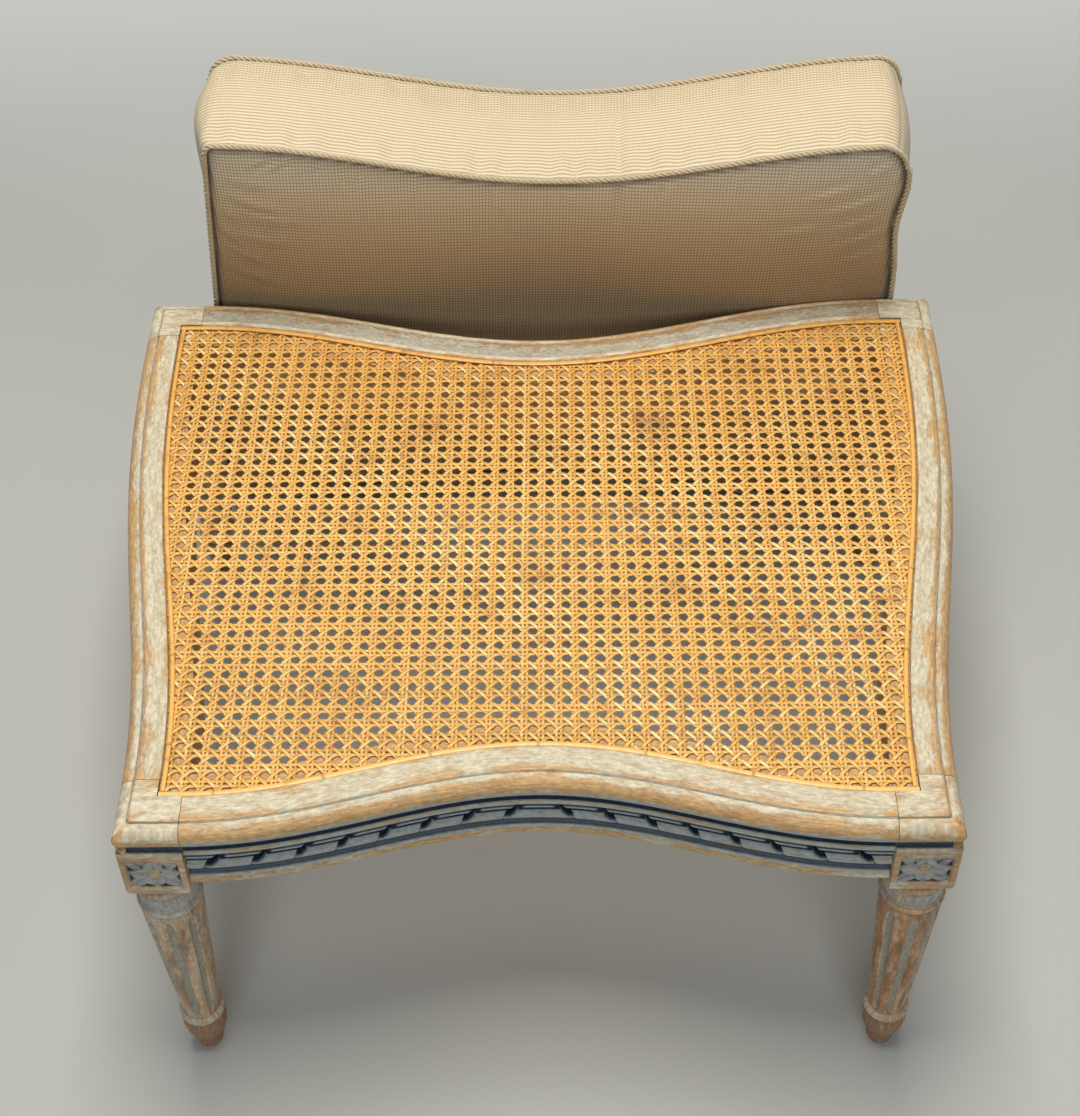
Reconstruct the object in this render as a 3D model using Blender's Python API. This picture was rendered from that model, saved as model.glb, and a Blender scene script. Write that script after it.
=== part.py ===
"""Caned stool, the middle seat of a duchesse brisee, with its loose box cushion standing behind it.

Metres, +Z up, +Y towards the back, floor at z = 0. The front and rear rails curve in at their middles,
the side rails swell out, and the seat is wider at the back. Every sub-part is one object.
"""

import math

import bmesh
import bpy
from mathutils import Vector

# Seat frame in plan
SEAT_DEPTH = 0.584  # front block face to rear block face
FRONT_WIDTH = 0.604  # over the front blocks
REAR_WIDTH = 0.702  # over the rear blocks
FRONT_DIP = 0.043  # how far the front rail curves in at its middle
REAR_DIP = 0.0525
SIDE_BOW = 0.006  # how far a side rail swells beyond its sweep
FRAME_HEIGHT = 0.327  # floor to the flat top of the frame
BLOCK = 0.048  # side of the square block on top of each leg
BLOCK_DROP = 0.012  # how far a block reaches below the rails
BLOCK_CHAMFER = 0.004
FRONT_BAND = 0.022  # flat top band of the front and rear rails
SIDE_BAND = 0.018

# Moulding on the outer face, from the top down
QUIRK_WIDTH = 0.0012
QUIRK_DEPTH = 0.0025
TORUS_RADIUS = 0.0105
GROOVE_HEIGHT = 0.004
FILLET_HEIGHT = 0.005
RIBBON_HEIGHT = 0.0175
BASE_HEIGHT = 0.0137
GROOVE_SINK = 0.0085  # the grooves' ground behind the block face
FILLET_SINK = 0.0035
RIBBON_SINK = 0.0040
BLOCK_GROOVE_HEIGHT = 0.003
BLOCK_GROOVE_SINK = 0.004

# Sunk square on the outer faces of the blocks, the ground of the carved rosette
PANEL_SIDE = 0.034
PANEL_DEPTH = 0.003

# Turned leg, from the block down
COLLAR_RING_HEIGHT = 0.007
COLLAR_RING_RADIUS = 0.0245
COLLAR_RING_ROUND = 0.0055  # how far the rings curve back at their edges
NECK_HEIGHT = 0.018
NECK_RADIUS = 0.0232
SHAFT_TOP_RADIUS = 0.0243
SHAFT_FOOT_RADIUS = 0.0165
FLUTE_COUNT = 8
FLUTE_DEPTH = 0.0026
FLUTE_SHARE = 0.46  # width of a flute as a share of its pitch
FLUTE_END = 0.007  # length over which a flute runs out
ANKLE_HEIGHT = 0.008
ANKLE_RADIUS = 0.0190
FOOT_HEIGHT = 0.047
FOOT_RADIUS = 0.0195
FOOT_TOE_RADIUS = 0.0095

# Mortise and tenon joints
TENON_THICKNESS = 0.010
TENON_HEIGHT = 0.042
TENON_SET = 0.011  # from the block face to the tenon
MORTISE_WALL = 0.003  # wood left between the two mortises of a block
PEG_RADIUS = 0.003
PEG_BITE = 0.008  # how far a peg goes past the tenon

# Caned seat
REBATE_DEPTH = 0.005
CANE_THICKNESS = 0.0016
CANE_PITCH = 0.039  # one gap of the net stands for three by three of the real weave
CANE_STRAND = 0.013
BINDER_WIDTH = 0.006
BINDER_THICKNESS = 0.0018

# Cushion, measured along its seams
CUSHION_LENGTH = 0.518  # wide edge to narrow edge
CUSHION_NARROW = 0.588
CUSHION_WIDE = 0.670
CUSHION_THICKNESS = 0.107  # seam to seam
NARROW_DIP = 0.041
WIDE_DIP = 0.048
CUSHION_CORNER = 0.016
SIDE_DRAW = 0.002  # how far the sides pull in between the corners
CROWN = 0.013
BOXING_BULGE = 0.004
FOOT_FLAT = 0.08  # height of the part that the floor presses flat
CLOTH = 0.002
PIPING_RADIUS = 0.0034
CUSHION_LEAN = math.radians(9.5)
CUSHION_TURN = math.radians(-1.2)
CUSHION_SHIFT = 0.010  # the cushion stands a little right of the middle
CUSHION_SKEW = 0.034  # how far it sags to its right, per metre of height

# Gap kept between pieces that touch
FIT = 0.0003

# Number of faces that follow the curves
LONG_RAIL_STEPS = 14
SIDE_RAIL_STEPS = 9
TORUS_STEPS = 5
RIBBON_STEPS = 4
PEG_SIDES = 10
PIPING_SIDES = 6
EDGE_STEPS = 10
FLANK_STEPS = 6
CORNER_STEPS = 4

# Sizes that follow from the ones above
MOULDING = QUIRK_WIDTH + TORUS_RADIUS
TORUS_Z = FRAME_HEIGHT - QUIRK_WIDTH - TORUS_RADIUS
RAIL_FOOT = TORUS_Z - TORUS_RADIUS - 2 * GROOVE_HEIGHT - FILLET_HEIGHT - RIBBON_HEIGHT - BASE_HEIGHT
BLOCK_FOOT = RAIL_FOOT - BLOCK_DROP
HALF_BLOCK = BLOCK / 2
OPEN_FRONT_X = FRONT_WIDTH / 2 - MOULDING - SIDE_BAND
OPEN_REAR_X = REAR_WIDTH / 2 - MOULDING - SIDE_BAND
OPEN_Y = SEAT_DEPTH / 2 - MOULDING - FRONT_BAND
JOINT_FRONT_X = FRONT_WIDTH / 2 - BLOCK
JOINT_REAR_X = REAR_WIDTH / 2 - BLOCK
JOINT_Y = SEAT_DEPTH / 2 - BLOCK
FRONT_LEDGE = BLOCK - MOULDING - FRONT_BAND
SIDE_LEDGE = BLOCK - MOULDING - SIDE_BAND
TENON_LENGTH = BLOCK - TENON_SET - TENON_THICKNESS - MORTISE_WALL
TENON_Z = (RAIL_FOOT + FRAME_HEIGHT - REBATE_DEPTH) / 2
PEG_INSET = TENON_LENGTH / 2
PEG_END = TENON_SET + TENON_THICKNESS + PEG_BITE
PANEL_Z = (BLOCK_FOOT + TORUS_Z - TORUS_RADIUS - BLOCK_GROOVE_HEIGHT) / 2
PEG_Z = PANEL_Z + PANEL_SIDE / 4  # the pegs come out in the sunk squares


def clear_scene():
    for obj in list(bpy.data.objects):
        bpy.data.objects.remove(obj, do_unlink=True)


def make_material(name, colour, roughness):
    material = bpy.data.materials.new(name)
    material.use_nodes = True
    shader = material.node_tree.nodes["Principled BSDF"]
    shader.inputs["Base Color"].default_value = (*colour, 1.0)
    shader.inputs["Roughness"].default_value = roughness
    shader.inputs["Metallic"].default_value = 0.0
    return material


def make_object(name, bm, material, parent, sharp_degrees=35.0):
    bmesh.ops.recalc_face_normals(bm, faces=bm.faces)
    mesh = bpy.data.meshes.new(name)
    bm.to_mesh(mesh)
    bm.free()
    mesh.materials.append(material)
    mesh.shade_smooth()
    mesh.set_sharp_from_angle(angle=math.radians(sharp_degrees))
    obj = bpy.data.objects.new(name, mesh)
    bpy.context.scene.collection.objects.link(obj)
    obj.parent = parent
    return obj


def make_helper(name, bm, parent):
    """A closed mesh that only joins or cuts another one."""
    bmesh.ops.recalc_face_normals(bm, faces=bm.faces)
    mesh = bpy.data.meshes.new(name)
    bm.to_mesh(mesh)
    bm.free()
    obj = bpy.data.objects.new(name, mesh)
    bpy.context.scene.collection.objects.link(obj)
    obj.parent = parent
    obj.hide_render = True
    obj.display_type = "WIRE"
    return obj


def make_empty(name, parent=None):
    obj = bpy.data.objects.new(name, None)
    bpy.context.scene.collection.objects.link(obj)
    obj.parent = parent
    return obj


def combine(obj, other, operation):
    modifier = obj.modifiers.new(operation.title() + " " + other.name, "BOOLEAN")
    modifier.operation = operation
    modifier.object = other
    modifier.solver = "EXACT"


def add_box(bm, low, high):
    """A closed box between two corners, given in any order."""
    corners = []
    for z in (low[2], high[2]):
        for x, y in ((low[0], low[1]), (high[0], low[1]), (high[0], high[1]), (low[0], high[1])):
            corners.append(bm.verts.new((x, y, z)))
    bm.faces.new(corners[:4])
    bm.faces.new(corners[4:])
    for i in range(4):
        j = (i + 1) % 4
        bm.faces.new((corners[i], corners[j], corners[4 + j], corners[4 + i]))


def add_strip(bm, first, second, split):
    """Faces between two loops. Split ones always fold along the same diagonal."""
    for i in range(len(first)):
        j = (i + 1) % len(first)
        if split:
            bm.faces.new((first[i], first[j], second[j]))
            bm.faces.new((first[i], second[j], second[i]))
        else:
            bm.faces.new((first[i], first[j], second[j], second[i]))


def add_loft(bm, sections, ring=False, split=False):
    """Skins between sections, each a closed loop of points. A ring joins the last section to the first."""
    rows = [[bm.verts.new(point) for point in section] for section in sections]
    for first, second in zip(rows, rows[1:]):
        add_strip(bm, first, second, split)
    if ring:
        add_strip(bm, rows[-1], rows[0], split)
    else:
        bm.faces.new(rows[0])
        bm.faces.new(rows[-1])


def add_cylinder(bm, start, end, radius):
    start = Vector(start)
    end = Vector(end)
    along = (end - start).normalized()
    side = along.orthogonal().normalized()
    other = along.cross(side)
    sections = []
    for centre in (start, end):
        section = []
        for i in range(PEG_SIDES):
            angle = 2 * math.pi * i / PEG_SIDES
            section.append(centre + radius * (math.cos(angle) * side + math.sin(angle) * other))
        sections.append(section)
    add_loft(bm, sections)


def swell(share):
    """Goes from 0 at both ends to 1 in the middle, level at each."""
    return (1 - math.cos(2 * math.pi * share)) / 2


def sweep_over(share):
    """Goes from 0 to 1, level at both ends."""
    return (1 - math.cos(math.pi * share)) / 2


def long_edge(rear, x):
    """Edge of the cane opening along the front or rear rail, at this x."""
    half = JOINT_REAR_X if rear else JOINT_FRONT_X
    dip = REAR_DIP if rear else FRONT_DIP
    inward = dip * swell((x + half) / (2 * half)) if abs(x) < half else 0.0
    return OPEN_Y - inward if rear else inward - OPEN_Y


def side_edge(side, y):
    """Edge of the cane opening along a side rail, at this y. side is -1 or 1."""
    share = min(max((y + JOINT_Y) / (2 * JOINT_Y), 0.0), 1.0)
    half = OPEN_FRONT_X + (OPEN_REAR_X - OPEN_FRONT_X) * sweep_over(share) + SIDE_BOW * swell(share)
    return side * half


def long_point(rear, x, offset):
    """A plan point beside the front or rear edge: offset is outwards, square to the edge."""
    step = 0.0005
    slope = (long_edge(rear, x + step) - long_edge(rear, x - step)) / (2 * step)
    outward = 1 if rear else -1
    normal = Vector((-slope, 1.0)).normalized() * outward
    return Vector((x, long_edge(rear, x))) + normal * offset


def side_point(side, y, offset):
    step = 0.0005
    slope = (side_edge(side, y + step) - side_edge(side, y - step)) / (2 * step)
    normal = Vector((1.0, -slope)).normalized() * side
    return Vector((side_edge(side, y), y)) + normal * offset


def spread(low, high, steps):
    return [low + (high - low) * i / steps for i in range(steps + 1)]


def torus_points():
    """The torus and the quirk above it, from the top down, as (sink behind the block face, z)."""
    points = [
        (MOULDING, FRAME_HEIGHT),
        (MOULDING - QUIRK_WIDTH / 2, FRAME_HEIGHT - QUIRK_DEPTH),
    ]
    for i in range(TORUS_STEPS + 1):
        angle = math.pi / 2 - math.pi * i / TORUS_STEPS
        sink = TORUS_RADIUS * (1 - math.cos(angle))
        points.append((sink, TORUS_Z + TORUS_RADIUS * math.sin(angle)))
    return points


def rail_profile(band, ledge):
    """Section of a rail as (offset out from the cane opening, z), a closed loop."""
    face = band + MOULDING
    points = [(0.0, FRAME_HEIGHT)]
    points += [(face - sink, z) for sink, z in torus_points()]
    z = TORUS_Z - TORUS_RADIUS - GROOVE_HEIGHT
    points.append((face - TORUS_RADIUS, z))
    points.append((face - FILLET_SINK, z))
    z -= FILLET_HEIGHT
    points.append((face - FILLET_SINK, z))
    ribbon_z = z - RIBBON_HEIGHT / 2
    for i in range(RIBBON_STEPS + 1):
        angle = math.pi / 2 - math.pi * i / RIBBON_STEPS
        out = (GROOVE_SINK - RIBBON_SINK) * math.cos(angle)
        points.append((face - GROOVE_SINK + out, ribbon_z + RIBBON_HEIGHT / 2 * math.sin(angle)))
    z -= RIBBON_HEIGHT + GROOVE_HEIGHT
    points.append((face - GROOVE_SINK, z))
    points.append((face - FILLET_SINK, z))
    points.append((face - FILLET_SINK, RAIL_FOOT))
    points.append((-ledge, RAIL_FOOT))
    points.append((-ledge, FRAME_HEIGHT - REBATE_DEPTH))
    points.append((0.0, FRAME_HEIGHT - REBATE_DEPTH))
    return points


def make_long_rail(name, rear, material, parent):
    """Front or rear rail with a tenon on each end."""
    joint = JOINT_REAR_X if rear else JOINT_FRONT_X
    outward = 1 if rear else -1
    profile = rail_profile(FRONT_BAND, FRONT_LEDGE)
    sections = []
    for x in spread(FIT - joint, joint - FIT, LONG_RAIL_STEPS):
        sections.append([(*long_point(rear, x, offset), z) for offset, z in profile])
    bm = bmesh.new()
    add_loft(bm, sections)
    rail = make_object(name, bm, material, parent)
    face = outward * SEAT_DEPTH / 2
    tenons = bmesh.new()
    holes = bmesh.new()
    for end in (-1, 1):
        near = face - outward * TENON_SET
        far = near - outward * TENON_THICKNESS
        root = end * (joint - TENON_THICKNESS)
        tip = end * (joint + TENON_LENGTH)
        add_box(
            tenons,
            (root, near, TENON_Z - TENON_HEIGHT / 2),
            (tip, far, TENON_Z + TENON_HEIGHT / 2),
        )
        x = end * (joint + PEG_INSET)
        add_cylinder(
            holes,
            (x, near + outward * PEG_BITE, PEG_Z),
            (x, far - outward * PEG_BITE, PEG_Z),
            PEG_RADIUS + FIT,
        )
    combine(rail, make_helper(name + "_tenons", tenons, parent), "UNION")
    combine(rail, make_helper(name + "_peg_holes", holes, parent), "DIFFERENCE")
    return rail


def make_side_rail(name, side, material, parent):
    """Side rail with a tenon on each end."""
    profile = rail_profile(SIDE_BAND, SIDE_LEDGE)
    sections = []
    for y in spread(FIT - JOINT_Y, JOINT_Y - FIT, SIDE_RAIL_STEPS):
        sections.append([(*side_point(side, y, offset), z) for offset, z in profile])
    bm = bmesh.new()
    add_loft(bm, sections)
    rail = make_object(name, bm, material, parent)
    tenons = bmesh.new()
    holes = bmesh.new()
    for end, width in ((-1, FRONT_WIDTH), (1, REAR_WIDTH)):
        near = side * (width / 2 - TENON_SET)
        far = near - side * TENON_THICKNESS
        root = end * (JOINT_Y - TENON_THICKNESS)
        tip = end * (JOINT_Y + TENON_LENGTH)
        add_box(
            tenons,
            (near, root, TENON_Z - TENON_HEIGHT / 2),
            (far, tip, TENON_Z + TENON_HEIGHT / 2),
        )
        y = end * (JOINT_Y + PEG_INSET)
        add_cylinder(
            holes,
            (near + side * PEG_BITE, y, PEG_Z),
            (far - side * PEG_BITE, y, PEG_Z),
            PEG_RADIUS + FIT,
        )
    combine(rail, make_helper(name + "_tenons", tenons, parent), "UNION")
    combine(rail, make_helper(name + "_peg_holes", holes, parent), "DIFFERENCE")
    return rail


def block_profile():
    """Outer face of a leg block from the bottom up, as (sink behind the face, z)."""
    groove = TORUS_Z - TORUS_RADIUS - BLOCK_GROOVE_HEIGHT
    under = math.acos(1 - BLOCK_GROOVE_SINK / TORUS_RADIUS)
    points = [
        (BLOCK_CHAMFER, BLOCK_FOOT),
        (0.0, BLOCK_FOOT + BLOCK_CHAMFER),
        (0.0, groove),
        (BLOCK_GROOVE_SINK, groove),
        (BLOCK_GROOVE_SINK, TORUS_Z - TORUS_RADIUS * math.sin(under)),
    ]
    for sink, z in reversed(torus_points()):
        if sink < BLOCK_GROOVE_SINK or z > TORUS_Z:
            points.append((sink, z))
    return points


def add_block(bm, side, end):
    """A square block about the leg's axis, with its moulding mitred round the outer corner."""
    rows = []
    for on_x, on_y in ((False, True), (True, True), (True, False)):
        row = []
        for sink, z in block_profile():
            outer = HALF_BLOCK - sink
            x = outer if on_x else -HALF_BLOCK
            y = outer if on_y else -HALF_BLOCK
            row.append(bm.verts.new((side * x, end * y, z)))
        rows.append(row)
    inner = [bm.verts.new((-side * HALF_BLOCK, -end * HALF_BLOCK, z)) for z in (BLOCK_FOOT, FRAME_HEIGHT)]
    for first, second in zip(rows, rows[1:]):
        for i in range(len(first) - 1):
            bm.faces.new((first[i], second[i], second[i + 1], first[i + 1]))
    bm.faces.new((rows[0][0], rows[1][0], rows[2][0], inner[0]))
    bm.faces.new((rows[0][-1], rows[1][-1], rows[2][-1], inner[1]))
    bm.faces.new(rows[0] + inner[::-1])
    bm.faces.new(rows[2] + inner[::-1])


def leg_levels():
    """Turned profile of a leg from the floor up, as (z, radius, flute depth)."""
    ankle = FOOT_HEIGHT + ANKLE_HEIGHT
    shaft_top = BLOCK_FOOT - 2 * COLLAR_RING_HEIGHT - NECK_HEIGHT
    lower_ring = shaft_top + COLLAR_RING_HEIGHT
    neck_top = lower_ring + NECK_HEIGHT
    shoulder = COLLAR_RING_RADIUS - COLLAR_RING_ROUND
    levels = [
        (0.0, FOOT_TOE_RADIUS, 0.0),
        (FOOT_HEIGHT / 4, (FOOT_TOE_RADIUS + FOOT_RADIUS) / 2, 0.0),
        (FOOT_HEIGHT * 2 / 3, FOOT_RADIUS, 0.0),
        (FOOT_HEIGHT, (FOOT_RADIUS + SHAFT_FOOT_RADIUS) / 2, 0.0),
        (FOOT_HEIGHT + ANKLE_HEIGHT / 4, ANKLE_RADIUS, 0.0),
        (FOOT_HEIGHT + ANKLE_HEIGHT * 3 / 4, ANKLE_RADIUS, 0.0),
        (ankle, SHAFT_FOOT_RADIUS, 0.0),
        (ankle + FLUTE_END / 2, SHAFT_FOOT_RADIUS, 0.0),
        (ankle + FLUTE_END, SHAFT_FOOT_RADIUS, FLUTE_DEPTH),
        (shaft_top - FLUTE_END, SHAFT_TOP_RADIUS, FLUTE_DEPTH),
        (shaft_top, SHAFT_TOP_RADIUS, 0.0),
        (shaft_top + COLLAR_RING_HEIGHT / 4, shoulder, 0.0),
        (shaft_top + COLLAR_RING_HEIGHT / 2, COLLAR_RING_RADIUS, 0.0),
        (lower_ring, NECK_RADIUS, 0.0),
        (neck_top, NECK_RADIUS, 0.0),
        (neck_top + COLLAR_RING_HEIGHT / 4, COLLAR_RING_RADIUS, 0.0),
        (neck_top + COLLAR_RING_HEIGHT * 3 / 4, COLLAR_RING_RADIUS, 0.0),
        (BLOCK_FOOT, shoulder, 0.0),
        (BLOCK_FOOT + BLOCK_CHAMFER, shoulder, 0.0),
    ]
    return levels


def turned_sections():
    pitch = 2 * math.pi / FLUTE_COUNT
    sections = []
    for z, radius, depth in leg_levels():
        section = []
        for i in range(FLUTE_COUNT):
            for turn, cut in ((-FLUTE_SHARE / 2, 0.0), (0.0, depth), (FLUTE_SHARE / 2, 0.0)):
                angle = (i + turn) * pitch
                reach = radius - cut
                section.append((reach * math.cos(angle), reach * math.sin(angle), z))
        sections.append(section)
    return sections


def make_leg(name, side, end, material, parent):
    """One leg with its block. side and end are -1 or 1 and point to the outer corner."""
    width = REAR_WIDTH if end > 0 else FRONT_WIDTH
    bm = bmesh.new()
    add_block(bm, side, end)
    leg = make_object(name, bm, material, parent)
    turned = bmesh.new()
    add_loft(turned, turned_sections())
    cuts = bmesh.new()
    open_x = HALF_BLOCK - MOULDING - SIDE_BAND
    open_y = HALF_BLOCK - MOULDING - FRONT_BAND
    floor = FRAME_HEIGHT - REBATE_DEPTH
    past = -HALF_BLOCK - BLOCK
    add_box(
        cuts,
        (side * past, end * past, floor),
        (side * open_x, end * open_y, FRAME_HEIGHT + BLOCK),
    )
    low = TENON_Z - TENON_HEIGHT / 2 - FIT
    high = TENON_Z + TENON_HEIGHT / 2 + FIT
    near = HALF_BLOCK - TENON_SET + FIT
    far = HALF_BLOCK - TENON_SET - TENON_THICKNESS - FIT
    depth = TENON_LENGTH + FIT - HALF_BLOCK
    add_box(cuts, (side * past, end * near, low), (side * depth, end * far, high))
    add_box(cuts, (side * near, end * past, low), (side * far, end * depth, high))
    sunk = HALF_BLOCK - PANEL_DEPTH
    panel = PANEL_SIDE / 2
    for along_x in (True, False):
        reach = HALF_BLOCK + BLOCK
        corner = (panel, reach, PANEL_Z + panel) if along_x else (reach, panel, PANEL_Z + panel)
        start = (-panel, sunk, PANEL_Z - panel) if along_x else (sunk, -panel, PANEL_Z - panel)
        add_box(
            cuts,
            (side * start[0], end * start[1], start[2]),
            (side * corner[0], end * corner[1], corner[2]),
        )
    holes = bmesh.new()
    peg_x = PEG_INSET - HALF_BLOCK
    bottom = HALF_BLOCK - PEG_END - FIT
    over = HALF_BLOCK + BLOCK
    add_cylinder(
        holes,
        (side * peg_x, end * over, PEG_Z),
        (side * peg_x, end * bottom, PEG_Z),
        PEG_RADIUS + FIT,
    )
    add_cylinder(
        holes,
        (side * over, end * peg_x, PEG_Z),
        (side * bottom, end * peg_x, PEG_Z),
        PEG_RADIUS + FIT,
    )
    for helper, operation in (
        (make_helper(name + "_cuts", cuts, leg), "DIFFERENCE"),
        (make_helper(name + "_peg_holes", holes, leg), "DIFFERENCE"),
        (make_helper(name + "_turned", turned, leg), "UNION"),
    ):
        combine(leg, helper, operation)
    leg.location = (side * (width / 2 - HALF_BLOCK), end * (SEAT_DEPTH / 2 - HALF_BLOCK), 0.0)
    return leg


def make_pegs(name, side, end, material, parent):
    """The two pegs that lock the tenons in one leg: one for the long rail, one for the side rail."""
    width = REAR_WIDTH if end > 0 else FRONT_WIDTH
    centre_x = side * (width / 2 - HALF_BLOCK)
    centre_y = end * (SEAT_DEPTH / 2 - HALF_BLOCK)
    head = HALF_BLOCK - PANEL_DEPTH
    tip = HALF_BLOCK - PEG_END
    place = PEG_INSET - HALF_BLOCK
    for which, start, stop in (
        ("rail_peg", (side * place, end * head), (side * place, end * tip)),
        ("side_peg", (side * head, end * place), (side * tip, end * place)),
    ):
        bm = bmesh.new()
        add_cylinder(bm, (*start, PEG_Z), (*stop, PEG_Z), PEG_RADIUS)
        peg = make_object(name + "_" + which, bm, material, parent)
        peg.location = (centre_x, centre_y, 0.0)


def opening_outline(front_inset, side_inset):
    """Plan outline inside the cane opening, anticlockwise from the front left corner."""
    points = []
    xs = spread(-JOINT_FRONT_X, JOINT_FRONT_X, LONG_RAIL_STEPS)
    points.append(Vector((side_inset - OPEN_FRONT_X, front_inset - OPEN_Y)))
    points += [long_point(False, x, -front_inset) for x in xs]
    points.append(Vector((OPEN_FRONT_X - side_inset, front_inset - OPEN_Y)))
    ys = spread(-JOINT_Y, JOINT_Y, SIDE_RAIL_STEPS)
    right = [side_point(1, y, -side_inset) for y in ys]
    points += right
    points.append(Vector((OPEN_REAR_X - side_inset, OPEN_Y - front_inset)))
    xs = spread(JOINT_REAR_X, -JOINT_REAR_X, LONG_RAIL_STEPS)
    points += [long_point(True, x, -front_inset) for x in xs]
    points.append(Vector((side_inset - OPEN_REAR_X, OPEN_Y - front_inset)))
    points += [Vector((-point.x, point.y)) for point in reversed(right)]
    return points


def inside(point, outline):
    hit = False
    for a, b in zip(outline, outline[1:] + outline[:1]):
        if (a.y > point.y) != (b.y > point.y):
            if point.x < a.x + (point.y - a.y) * (b.x - a.x) / (b.y - a.y):
                hit = not hit
    return hit


def make_cane(material, parent):
    """The woven seat as an open net: strands run straight across, and gaps stop at the ledge."""
    bottom = FRAME_HEIGHT - REBATE_DEPTH + FIT
    top = bottom + CANE_THICKNESS
    outline = opening_outline(FIT, FIT)
    bm = bmesh.new()
    add_loft(bm, [[(*point, z) for point in outline] for z in (bottom, top)])
    cane = make_object("cane_panel", bm, material, parent)
    ledge = opening_outline(FRONT_LEDGE, SIDE_LEDGE)
    gap = (CANE_PITCH - CANE_STRAND) / 2
    columns = int(OPEN_REAR_X / CANE_PITCH) + 1
    rows = int(OPEN_Y / CANE_PITCH) + 1
    gaps = bmesh.new()
    for column in range(-columns, columns + 1):
        for row in range(-rows, rows + 1):
            centre = Vector((column * CANE_PITCH, row * CANE_PITCH))
            corners = [centre + Vector((x, y)) for x in (-gap, gap) for y in (-gap, gap)]
            if all(inside(corner, ledge) for corner in corners):
                low = (centre.x - gap, centre.y - gap, bottom - CANE_THICKNESS)
                high = (centre.x + gap, centre.y + gap, top + CANE_THICKNESS)
                add_box(gaps, low, high)
    combine(cane, make_helper("cane_gaps", gaps, parent), "DIFFERENCE")


def make_binders(material, parent):
    """Flat strips of cane laid over the ends of the weave along the four sides of the seat."""
    low = FRAME_HEIGHT - REBATE_DEPTH + 2 * FIT + CANE_THICKNESS
    high = low + BINDER_THICKNESS
    offsets = (-FIT, -FIT - BINDER_WIDTH)

    def strip(name, places):
        sections = []
        for outer, inner in places:
            sections.append([(*outer, low), (*inner, low), (*inner, high), (*outer, high)])
        bm = bmesh.new()
        add_loft(bm, sections)
        make_object(name, bm, material, parent)

    for name, rear, half in (("front", False, OPEN_FRONT_X), ("rear", True, OPEN_REAR_X)):
        joint = JOINT_REAR_X if rear else JOINT_FRONT_X
        xs = [FIT - half] + spread(-joint, joint, LONG_RAIL_STEPS) + [half - FIT]
        strip(name + "_binder", [[long_point(rear, x, offset) for offset in offsets] for x in xs])
    stop = OPEN_Y - 2 * FIT - BINDER_WIDTH
    for name, side in (("left", -1), ("right", 1)):
        ys = [-stop] + spread(-JOINT_Y, JOINT_Y, SIDE_RAIL_STEPS)[1:-1] + [stop]
        strip(name + "_binder", [[side_point(side, y, offset) for offset in offsets] for y in ys])


def cushion_outline():
    """Seam line of the cushion as (across, up from the wide edge), anticlockwise from the foot's left."""
    radius = CUSHION_CORNER
    points = []

    def corner(x, y, first):
        for i in range(1, CORNER_STEPS):
            angle = first + math.pi / 2 * i / CORNER_STEPS
            points.append(Vector((x + radius * math.cos(angle), y + radius * math.sin(angle))))

    def flank(side, shares):
        for share in shares:
            half = CUSHION_WIDE + (CUSHION_NARROW - CUSHION_WIDE) * share
            y = radius + (CUSHION_LENGTH - 2 * radius) * share
            points.append(Vector((side * (half / 2 - SIDE_DRAW * swell(share)), y)))

    wide = CUSHION_WIDE / 2 - radius
    narrow = CUSHION_NARROW / 2 - radius
    for share in spread(0.0, 1.0, EDGE_STEPS):
        points.append(Vector((wide * (2 * share - 1), WIDE_DIP * swell(share))))
    corner(wide, radius, -math.pi / 2)
    flank(1, spread(0.0, 1.0, FLANK_STEPS))
    corner(narrow, CUSHION_LENGTH - radius, 0.0)
    for share in spread(1.0, 0.0, EDGE_STEPS):
        dip = NARROW_DIP * swell(share)
        points.append(Vector((narrow * (2 * share - 1), CUSHION_LENGTH - dip)))
    corner(-narrow, CUSHION_LENGTH - radius, math.pi / 2)
    flank(-1, spread(1.0, 0.0, FLANK_STEPS))
    corner(-wide, radius, math.pi)
    return points


def outward_normals(outline):
    normals = []
    for i, point in enumerate(outline):
        along = outline[(i + 1) % len(outline)] - outline[i - 1]
        normals.append(Vector((along.y, -along.x)).normalized())
    return normals


def stand(across, up, depth):
    """Puts a point of the flat cushion where it stands: leaning forward, with its foot flat on the floor."""
    share = min(max(up / (CUSHION_LENGTH / 2), 0.0), 1.0)
    tilt = CUSHION_LEAN * sweep_over(share)
    y = -up * math.sin(CUSHION_LEAN) - depth * math.cos(tilt)
    z = up * math.cos(CUSHION_LEAN) - depth * math.sin(tilt)
    return (across + CUSHION_SKEW * (up - CUSHION_LENGTH / 2), y, z + PIPING_RADIUS)


def ring_at(outline, normals, out, depth, bulge=0.0):
    """A loop beside the seam line. The bulge fades out at the foot, which the floor presses flat."""
    points = []
    for point, normal in zip(outline, normals):
        free = sweep_over(min(max(point.y / FOOT_FLAT, 0.0), 1.0))
        points.append(stand(*(point + normal * (out + bulge * free)), depth))
    return points


def dome(outline, normals, inset, rim_depth, crown):
    """Rings of a crowned face from its rim to near its middle, and the middle point."""
    rim = [point - normal * inset for point, normal in zip(outline, normals)]
    middle = sum(rim, Vector((0.0, 0.0))) / len(rim)
    rings = []
    for scale in (1.0, 0.9, 0.68, 0.36):
        depth = rim_depth + crown * (1 - scale**2.5)
        rings.append([stand(*(middle + (point - middle) * scale), depth) for point in rim])
    return rings, stand(*middle, rim_depth + crown)


def add_fan(bm, row, tip):
    centre = bm.verts.new(tip)
    for i in range(len(row)):
        bm.faces.new((row[i], row[(i + 1) % len(row)], centre))


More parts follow.
